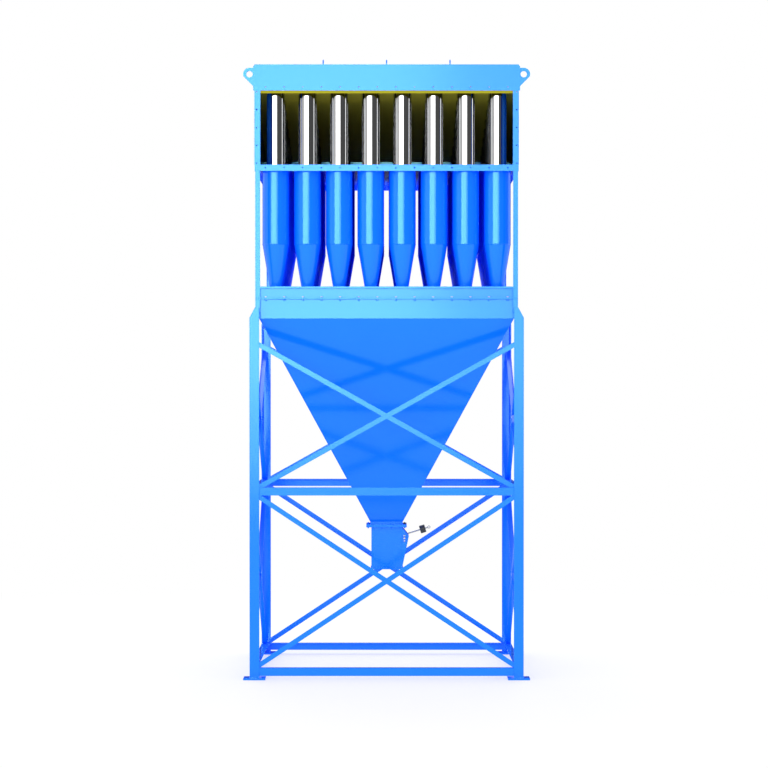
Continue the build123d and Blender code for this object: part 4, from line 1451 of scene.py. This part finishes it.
@dataclass
class FlapValve:
    """The counterweighted flap valve under the hopper."""

    finishes: Finishes
    shaft_radius: float = 0.010
    shaft_ease: float = 0.0015
    ring_width: float = 0.0025
    ring_thickness: float = 0.0012
    ring_gap: float = 0.0042
    bearing_thickness: float = 0.010
    bearing_corner: float = 0.006
    bearing_gap: float = 0.0003
    bearing_bolt: float = 0.0225
    boss_profile: tuple[tuple[float, float], ...] = (
        (0.0155, 0.0), (0.0155, 0.0025), (0.0145, 0.0035), (0.0106, 0.0035), (0.0106, 0.0))
    cover_shoulder: float = 0.128
    cover_elbow: float = 0.190
    cover_fall: float = 0.079
    cover_thickness: float = 0.004
    cover_margin: float = 0.018
    cover_bolt_places: tuple[float, ...] = (-0.105, -0.035, 0.035, 0.105)
    gasket_reach: float = 0.003
    gasket_inset: float = 0.003
    gasket_thickness: float = 0.002
    hub_radius: float = 0.022
    hub_width: float = 0.022
    hub_gap: float = 0.006
    hub_ease: float = 0.0012
    rod_radius: float = 0.006
    rod_length: float = 0.220
    rod_ease: float = 0.002
    rod_angle: float = 17.0
    rod_eye: float = 0.010
    rod_eye_wire: float = 0.003
    rod_eye_reach: float = 0.008
    screw_sink: float = 0.001
    weight_radius: float = 0.034
    weight_length: float = 0.048
    weight_distance: float = 0.171
    weight_ease: float = 0.004
    weight_bulge: float = 0.001

    def build(self) -> None:
        """Dresses the valve's casing and makes its turned parts and bolts."""
        blue, plated, iron = self.finishes.blue, self.finishes.plated, self.finishes.iron
        ease_nodes(("valve_cheeks", "valve_left_wall", "valve_right_wall", "valve_chute", "valve_cover",
                    "valve_lip"), blue, Edge.VALVE)
        dress_node("flap_plate", blue)
        new_piece("bearing_blocks", self.bearings(), blue, replaces=("valve_bearings",))
        new_piece("bearing_bolts", self.bearing_bolts(), plated)
        new_piece("cover_bolts", self.cover_bolts(), plated)
        new_piece("cover_gasket", self.cover_gasket(), self.finishes.rubber)
        new_piece("turned_shaft", self.shaft(), plated, SWINGING, ("flap_shaft",))
        new_piece("lever_and_eye", self.lever(), plated, SWINGING, ("flap_lever",))
        new_piece("turned_weight", self.weight(), iron, SWINGING, ("counterweight",))

    def shaft_place(self) -> np.ndarray:
        """The middle of the shaft in x and z, with y at nought."""
        low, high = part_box("flap_shaft")
        return np.array(((low.x + high.x) / 2, 0.0, (low.z + high.z) / 2))

    def bearings(self) -> Shell:
        """Two bearing plates with rounded corners, and a turned boss round the shaft on each.

        Returns:
            Both plates with their bosses.
        """
        low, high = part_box("valve_bearings")
        corner = self.bearing_corner
        inner = (high.x - low.x) / 2 - corner
        straight = (high.z - low.z) / 2 - corner
        outline = np.concatenate([
            arc((x, z), corner, start, start + 90, CORNER_STEPS)
            for x, z, start in ((inner, -straight, -90), (inner, straight, 0), (-inner, straight, 90),
                                (-inner, -straight, 180))
        ])
        hole = circle((0, 0), self.shaft_radius + self.bearing_gap, SMALL_SEGMENTS)
        plate = standing(drilled_plate(outline, [hole], self.bearing_thickness), 0.0)
        boss = revolve(self.boss_profile, SMALL_SEGMENTS, True)
        shells = []
        for plate_y, face_y, way in ((low.y + self.bearing_thickness, low.y, -Y_AXIS),
                                     (high.y, high.y, Y_AXIS)):
            shells.append(plate.moved((0, plate_y, 0)))
            shells.append(boss.turned(axes_towards(way)).moved((0, face_y, 0)))
        return joined(shells).moved(self.shaft_place())

    def bearing_bolts(self) -> Shell:
        """Two bolt heads on each bearing plate, above and below the shaft.

        Returns:
            The four heads.
        """
        low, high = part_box("valve_bearings")
        shells = []
        for y, way in ((low.y, -Y_AXIS), (high.y, Y_AXIS)):
            head = COVER_BOLT.capped().turned(axes_towards(way))
            shells.append(head.repeated([(0, y, -self.bearing_bolt), (0, y, self.bearing_bolt)]))
        return joined(shells).moved(self.shaft_place())

    def cover_frame(self) -> tuple[np.ndarray, np.ndarray, np.ndarray, float]:
        """The cover's slope.

        Returns:
            The slope's middle, its downward direction, its outward direction and its length.
        """
        shoulder = np.array((self.cover_shoulder, 0.0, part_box("valve_flange")[0].z))
        elbow = np.array((self.cover_elbow, 0.0, shoulder[2] - self.cover_fall))
        way = elbow - shoulder
        length = float(np.linalg.norm(way))
        way = way / length
        return (shoulder + elbow) / 2, way, np.cross(way, Y_AXIS) * -1.0, length

    def cover_bolts(self) -> Shell:
        """Eight bolt heads round the cover's rim.

        Returns:
            The eight heads.
        """
        middle, way, out, length = self.cover_frame()
        head = COVER_BOLT.capped().turned(axes_towards(out))
        inset = length / 2 - self.cover_margin
        places = [middle + out * self.cover_thickness + way * side * inset + Y_AXIS * y
                  for side in (-1.0, 1.0) for y in self.cover_bolt_places]
        return head.repeated(np.array(places))

    def cover_gasket(self) -> Shell:
        """The dark joint between the cover and the slope, which shows round the cover's rim.

        Returns:
            The gasket.
        """
        middle, way, out, length = self.cover_frame()
        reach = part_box("valve_cover")[1].y + self.gasket_reach
        end = length / 2 - self.gasket_inset
        section = rectangle(-end, end, 0.0, self.gasket_thickness)
        ends = np.array([middle - Y_AXIS * reach, middle + Y_AXIS * reach])
        if np.dot(np.cross(way, out), ends[1] - ends[0]) < 0:
            ends = ends[::-1]
        return carry(section, ends, way, out)

    def shaft(self) -> Shell:
        """The shaft with chamfered ends and a retaining ring.

        Returns:
            The shaft and its ring.
        """
        low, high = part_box("flap_shaft")
        radius, ease, length = self.shaft_radius, self.shaft_ease, high.y - low.y
        rim, thickness = radius + self.ring_width, self.ring_thickness
        body = revolve([(radius - ease, 0.0), (radius, ease), (radius, length - ease),
                        (radius - ease, length)], SMALL_SEGMENTS, False)
        ring = revolve([(radius, 0.0), (rim, 0.0), (rim, thickness), (radius, thickness)],
                       SMALL_SEGMENTS, True)
        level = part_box("valve_bearings")[1].y - low.y + self.ring_gap
        place = self.shaft_place()
        turned = joined([body, ring.moved((0, 0, level))]).turned(axes_towards(Y_AXIS))
        return turned.moved((place[0], low.y, place[2]))

    def lever_frame(self) -> tuple[np.ndarray, np.ndarray, np.ndarray]:
        """Where the rod and the hub stand.

        Returns:
            The rod's start, its direction and the hub's middle.
        """
        lean = math.radians(self.rod_angle)
        way = np.array((math.cos(lean), 0.0, math.sin(lean)))
        up = np.array((-math.sin(lean), 0.0, math.cos(lean)))
        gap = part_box("valve_bearings")[1].y + self.hub_gap
        hub = self.shaft_place() + Y_AXIS * (gap + self.hub_width / 2)
        return hub + up * (self.hub_radius - self.rod_radius), way, hub

    def lever(self) -> Shell:
        """The hub with its set screw, the rod, and the ring at the rod's end.

        Returns:
            The lever's pieces joined.
        """
        start, way, hub = self.lever_frame()
        bore, rim, ease, half = self.shaft_radius, self.hub_radius, self.hub_ease, self.hub_width / 2
        wheel = revolve([
            (bore, -half), (rim - ease, -half), (rim, -half + ease), (rim, half - ease),
            (rim - ease, half), (bore, half),
        ], ROUND_SEGMENTS, True)
        radius, length, ease = self.rod_radius, self.rod_length, self.rod_ease
        rod = revolve([(radius, 0.0), (radius, length - ease), (radius - ease, length)],
                      HOLE_SEGMENTS, False)
        down = np.array((way[2], 0.0, -way[0]))
        screw = COVER_BOLT.capped().turned(axes_towards(down))
        ring = revolve(arc((self.rod_eye, 0.0), self.rod_eye_wire, *WIRE_ARC), SMALL_SEGMENTS, True)
        return joined([
            wheel.turned(axes_towards(Y_AXIS)).moved(hub),
            rod.turned(axes_towards(way)).moved(start),
            screw.moved(hub + down * (rim - self.screw_sink)),
            ring.turned(axes_towards(Y_AXIS)).moved(start + way * (length + self.rod_eye_reach)),
        ])

    def weight(self) -> Shell:
        """The cast weight with eased rims and its set screw.

        Returns:
            The weight and its screw.
        """
        start, way, _ = self.lever_frame()
        half, radius, bore = self.weight_length / 2, self.weight_radius, self.rod_radius
        ease, bulge = self.weight_ease, self.weight_bulge
        body = revolve([
            (bore, -half), (radius - ease, -half), (radius - bulge, -half + bulge), (radius, -half + ease),
            (radius, half - ease), (radius - bulge, half - bulge), (radius - ease, half), (bore, half),
        ], ROUND_SEGMENTS, True)
        screw = COVER_BOLT.capped().turned(axes_towards(X_AXIS)).moved((radius - self.screw_sink, 0.0, 0.0))
        return joined([body, screw]).turned(axes_towards(way)).moved(start + way * self.weight_distance)


# Studio


@dataclass(frozen=True)
class Softbox:
    """A large flat lamp that covers a range of directions as seen from the object.

    Attributes:
        name: The lamp's name.
        left: Its left edge in degrees, nought being the way to the camera.
        right: Its right edge in degrees.
        low: Its lower edge above the eye's level, in degrees.
        high: Its upper edge, in degrees.
        radiance: Brightness of its face, where 1 is white.
        in_gloss: Whether gloss sees the lamp.
    """

    name: str
    left: float
    right: float
    low: float
    high: float
    radiance: float
    in_gloss: bool = True

    def hang(self, eye: float, distance: float) -> None:
        """Makes the lamp.

        Args:
            eye: The eye's level.
            distance: How far off the lamp stands.
        """
        middle = math.radians((self.left + self.right) / 2)
        low, high = math.tan(math.radians(self.low)), math.tan(math.radians(self.high))
        width = 2 * distance * math.tan(math.radians((self.right - self.left) / 2))
        height = distance * (high - low)
        data = bpy.data.lights.new(self.name, "AREA")
        data.shape = "RECTANGLE"
        data.size, data.size_y = width, height
        data.energy = self.radiance * math.pi * width * height
        lamp = bpy.data.objects.new(self.name, data)
        lamp.location = (distance * math.sin(middle), -distance * math.cos(middle),
                         eye + distance * low + height / 2)
        lamp.rotation_euler = (math.pi / 2, 0.0, middle)
        lamp.visible_camera = False
        lamp.visible_glossy = self.in_gloss
        bpy.context.scene.collection.objects.link(lamp)


@dataclass(frozen=True)
class Card:
    """A tall curved card far off that only gloss sees, so that bright metal shades to its sides.

    Attributes:
        name: The card's name.
        left: Its left edge in degrees, nought being the way to the camera.
        right: Its right edge in degrees.
        radiance: Brightness of its face, where 1 is white.
        top: Its upper edge above the floor, in degrees.
        steps: Number of points along it.
    """

    name: str
    left: float
    right: float
    radiance: float
    top: float
    steps: int = 33

    def stand(self, distance: float) -> None:
        """Makes the card.

        The point at turn a and height h is (d sin a, -d cos a, h), where d is the distance.

        Args:
            distance: How far off the card stands.
        """
        turns = np.radians(np.linspace(self.left, self.right, self.steps))
        points = np.zeros((2, self.steps, 3))
        points[..., 0] = distance * np.sin(turns)
        points[..., 1] = -distance * np.cos(turns)
        points[1, :, 2] = distance * math.tan(math.radians(self.top))
        faces = grid_faces(2, self.steps, False, False)
        card, tree, out = studio_surface(self.name, points.reshape(-1, 3), faces)
        glow = add_node(tree, "ShaderNodeEmission", {"Strength": self.radiance})
        tree.links.new(glow.outputs[0], out.inputs["Surface"])
        for ray in ("camera", "diffuse", "transmission", "shadow"):
            setattr(card, f"visible_{ray}", False)


def studio_surface(name: str, points: np.ndarray,
                   faces: np.ndarray) -> tuple[bpy.types.Object, bpy.types.NodeTree, bpy.types.Node]:
    """A surface of the studio with an empty material.

    Args:
        name: The name of the object, its mesh and its material.
        points: Its points.
        faces: Its faces as rows of point numbers.

    Returns:
        The object, its material's tree and the tree's output node.
    """
    mesh = bpy.data.meshes.new(name)
    mesh.from_pydata(points, [], faces)
    material = bpy.data.materials.new(name)
    material.use_nodes = True
    material.node_tree.nodes.clear()
    mesh.materials.append(material)
    surface = bpy.data.objects.new(name, mesh)
    bpy.context.scene.collection.objects.link(surface)
    return surface, material.node_tree, add_node(material.node_tree, "ShaderNodeOutputMaterial")


SOFTBOXES = (
    Softbox("key_softbox", -38.0, 2.0, 0.0, 15.0, 6.8),
    Softbox("key_softbox_foot", -38.0, 2.0, -3.4, 0.0, 3.4),
    Softbox("key_side_softbox", 2.0, 14.0, 0.0, 15.0, 3.2),
    Softbox("key_side_softbox_foot", 2.0, 14.0, -3.4, 0.0, 1.6),
    Softbox("left_fill", -95.0, -45.0, 0.0, 40.0, 0.6, False),
    Softbox("back_fill", 150.0, 215.0, 26.0, 58.0, 2.2),
    Softbox("bay_fill", 125.0, 235.0, 0.0, 24.0, 3.0, False),
)
CARDS = (Card("dark_card", 15.0, 100.0, 0.14, 45.0), Card("back_card", 140.0, 220.0, 0.02, 25.0))


@dataclass
class Studio:
    """The camera, the lamps, the white world and the floor."""

    camera_place: tuple[float, float, float] = (-0.0214, -23.0, 2.34)
    camera_fall: float = 0.0135
    sensor: float = 36.0
    lens: float = 125.91
    shift: float = 0.0587
    sight: float = 300.0
    lamp_distance: float = 26.0
    card_distance: float = 29.0
    ambient: float = 1.0
    bounces: int = 40
    white: tuple[float, float, float, float] = (1.0, 1.0, 1.0, 1.0)
    floor_half: float = 90.0
    floor_fade: tuple[float, float] = (3.0, 9.0)
    floor_glow: float = 0.51
    floor_colour: tuple[float, float, float, float] = (0.38, 0.38, 0.38, 1.0)
    floor_light: tuple[float, float, float, float] = (0.80, 0.81, 0.82, 1.0)

    def build(self) -> None:
        """Sets the camera, the lamps, the world and the floor."""
        scene = bpy.context.scene
        scene.view_settings.view_transform = "Standard"
        scene.cycles.max_bounces = self.bounces
        scene.cycles.diffuse_bounces = self.bounces
        scene.cycles.glossy_bounces = self.bounces
        self.camera(scene)
        self.world(scene)
        self.floor()
        for softbox in SOFTBOXES:
            softbox.hang(self.camera_place[2], self.lamp_distance)
        for card in CARDS:
            card.stand(self.card_distance)

    def camera(self, scene: bpy.types.Scene) -> None:
        """Puts the camera where the photograph was taken from.

        Args:
            scene: The scene that it looks at.
        """
        data = bpy.data.cameras.new("studio_camera")
        data.sensor_width = self.sensor
        data.lens = self.lens
        data.shift_y = self.shift
        data.clip_end = self.sight
        camera = bpy.data.objects.new("studio_camera", data)
        camera.location = self.camera_place
        camera.rotation_euler = (math.pi / 2 - self.camera_fall, 0.0, 0.0)
        scene.collection.objects.link(camera)
        scene.camera = camera

    def show(self, tree: bpy.types.NodeTree, lights: bpy.types.Node, shown: bpy.types.Node,
             out: bpy.types.Node) -> None:
        """Gives out one shader to the rays that are seen and another to the rest.

        Args:
            tree: The tree of the material or the world.
            lights: The shader that lights the object.
            shown: The shader for rays from the camera, off gloss and through glass.
            out: The tree's output node.
        """
        path = add_node(tree, "ShaderNodeLightPath").outputs
        seen = math_node(tree, "MAXIMUM", path["Is Camera Ray"], path["Is Glossy Ray"])
        share = math_node(tree, "MAXIMUM", seen, path["Is Transmission Ray"])
        mix = add_node(tree, "ShaderNodeMixShader", {0: share, 1: lights.outputs[0], 2: shown.outputs[0]})
        tree.links.new(mix.outputs[0], out.inputs["Surface"])

    def world(self, scene: bpy.types.Scene) -> None:
        """A world that shows white and lights the object softly.

        Args:
            scene: The scene that it surrounds.
        """
        world = bpy.data.worlds.new("white_studio")
        world.use_nodes = True
        scene.world = world
        tree = world.node_tree
        light = next(node for node in tree.nodes if node.type == "BACKGROUND")
        light.inputs["Color"].default_value = self.white
        light.inputs["Strength"].default_value = self.ambient
        shown = add_node(tree, "ShaderNodeBackground", {"Color": self.white, "Strength": 1.0})
        self.show(tree, light, shown, next(node for node in tree.nodes if node.type == "OUTPUT_WORLD"))

    def floor(self) -> None:
        """A white floor that keeps the object's shadow and fades into the white world far off."""
        corners = rectangle(-self.floor_half, self.floor_half, -self.floor_half, self.floor_half)
        points = np.column_stack([corners, np.zeros(len(corners))])
        floor, tree, out = studio_surface("studio_floor", points, np.arange(len(corners))[None])
        lit = add_node(tree, "ShaderNodeBsdfDiffuse", {"Color": self.floor_light})
        near_coat = add_node(tree, "ShaderNodeBsdfDiffuse", {"Color": self.floor_colour})
        near_glow = add_node(tree, "ShaderNodeEmission", {"Strength": self.floor_glow})
        near = add_node(tree, "ShaderNodeAddShader", {0: near_glow.outputs[0], 1: near_coat.outputs[0]})
        far = add_node(tree, "ShaderNodeEmission", {"Strength": 1.0})
        place = add_node(tree, "ShaderNodeTexCoord").outputs["Object"]
        reach = add_node(tree, "ShaderNodeVectorMath", {0: place}, operation="LENGTH").outputs["Value"]
        start, end = self.floor_fade
        fade = add_node(tree, "ShaderNodeMapRange", {"Value": reach, "From Min": start, "From Max": end},
                        interpolation_type="SMOOTHSTEP")
        shown = add_node(tree, "ShaderNodeMixShader",
                         {0: fade.outputs[0], 1: near.outputs[0], 2: far.outputs[0]})
        self.show(tree, lit, shown, out)


def main() -> None:
    """Builds the studio and every sub-assembly."""
    logging.basicConfig(level=logging.INFO, format="%(name)s %(message)s")
    finishes = Finishes()
    Studio().build()
    for part in (Stand, Hopper, CycloneBank, GasChamber, Casing, FlapValve):
        log.info("building %s", part.__name__)
        part(finishes).build()


if __name__ == "__main__":
    main()
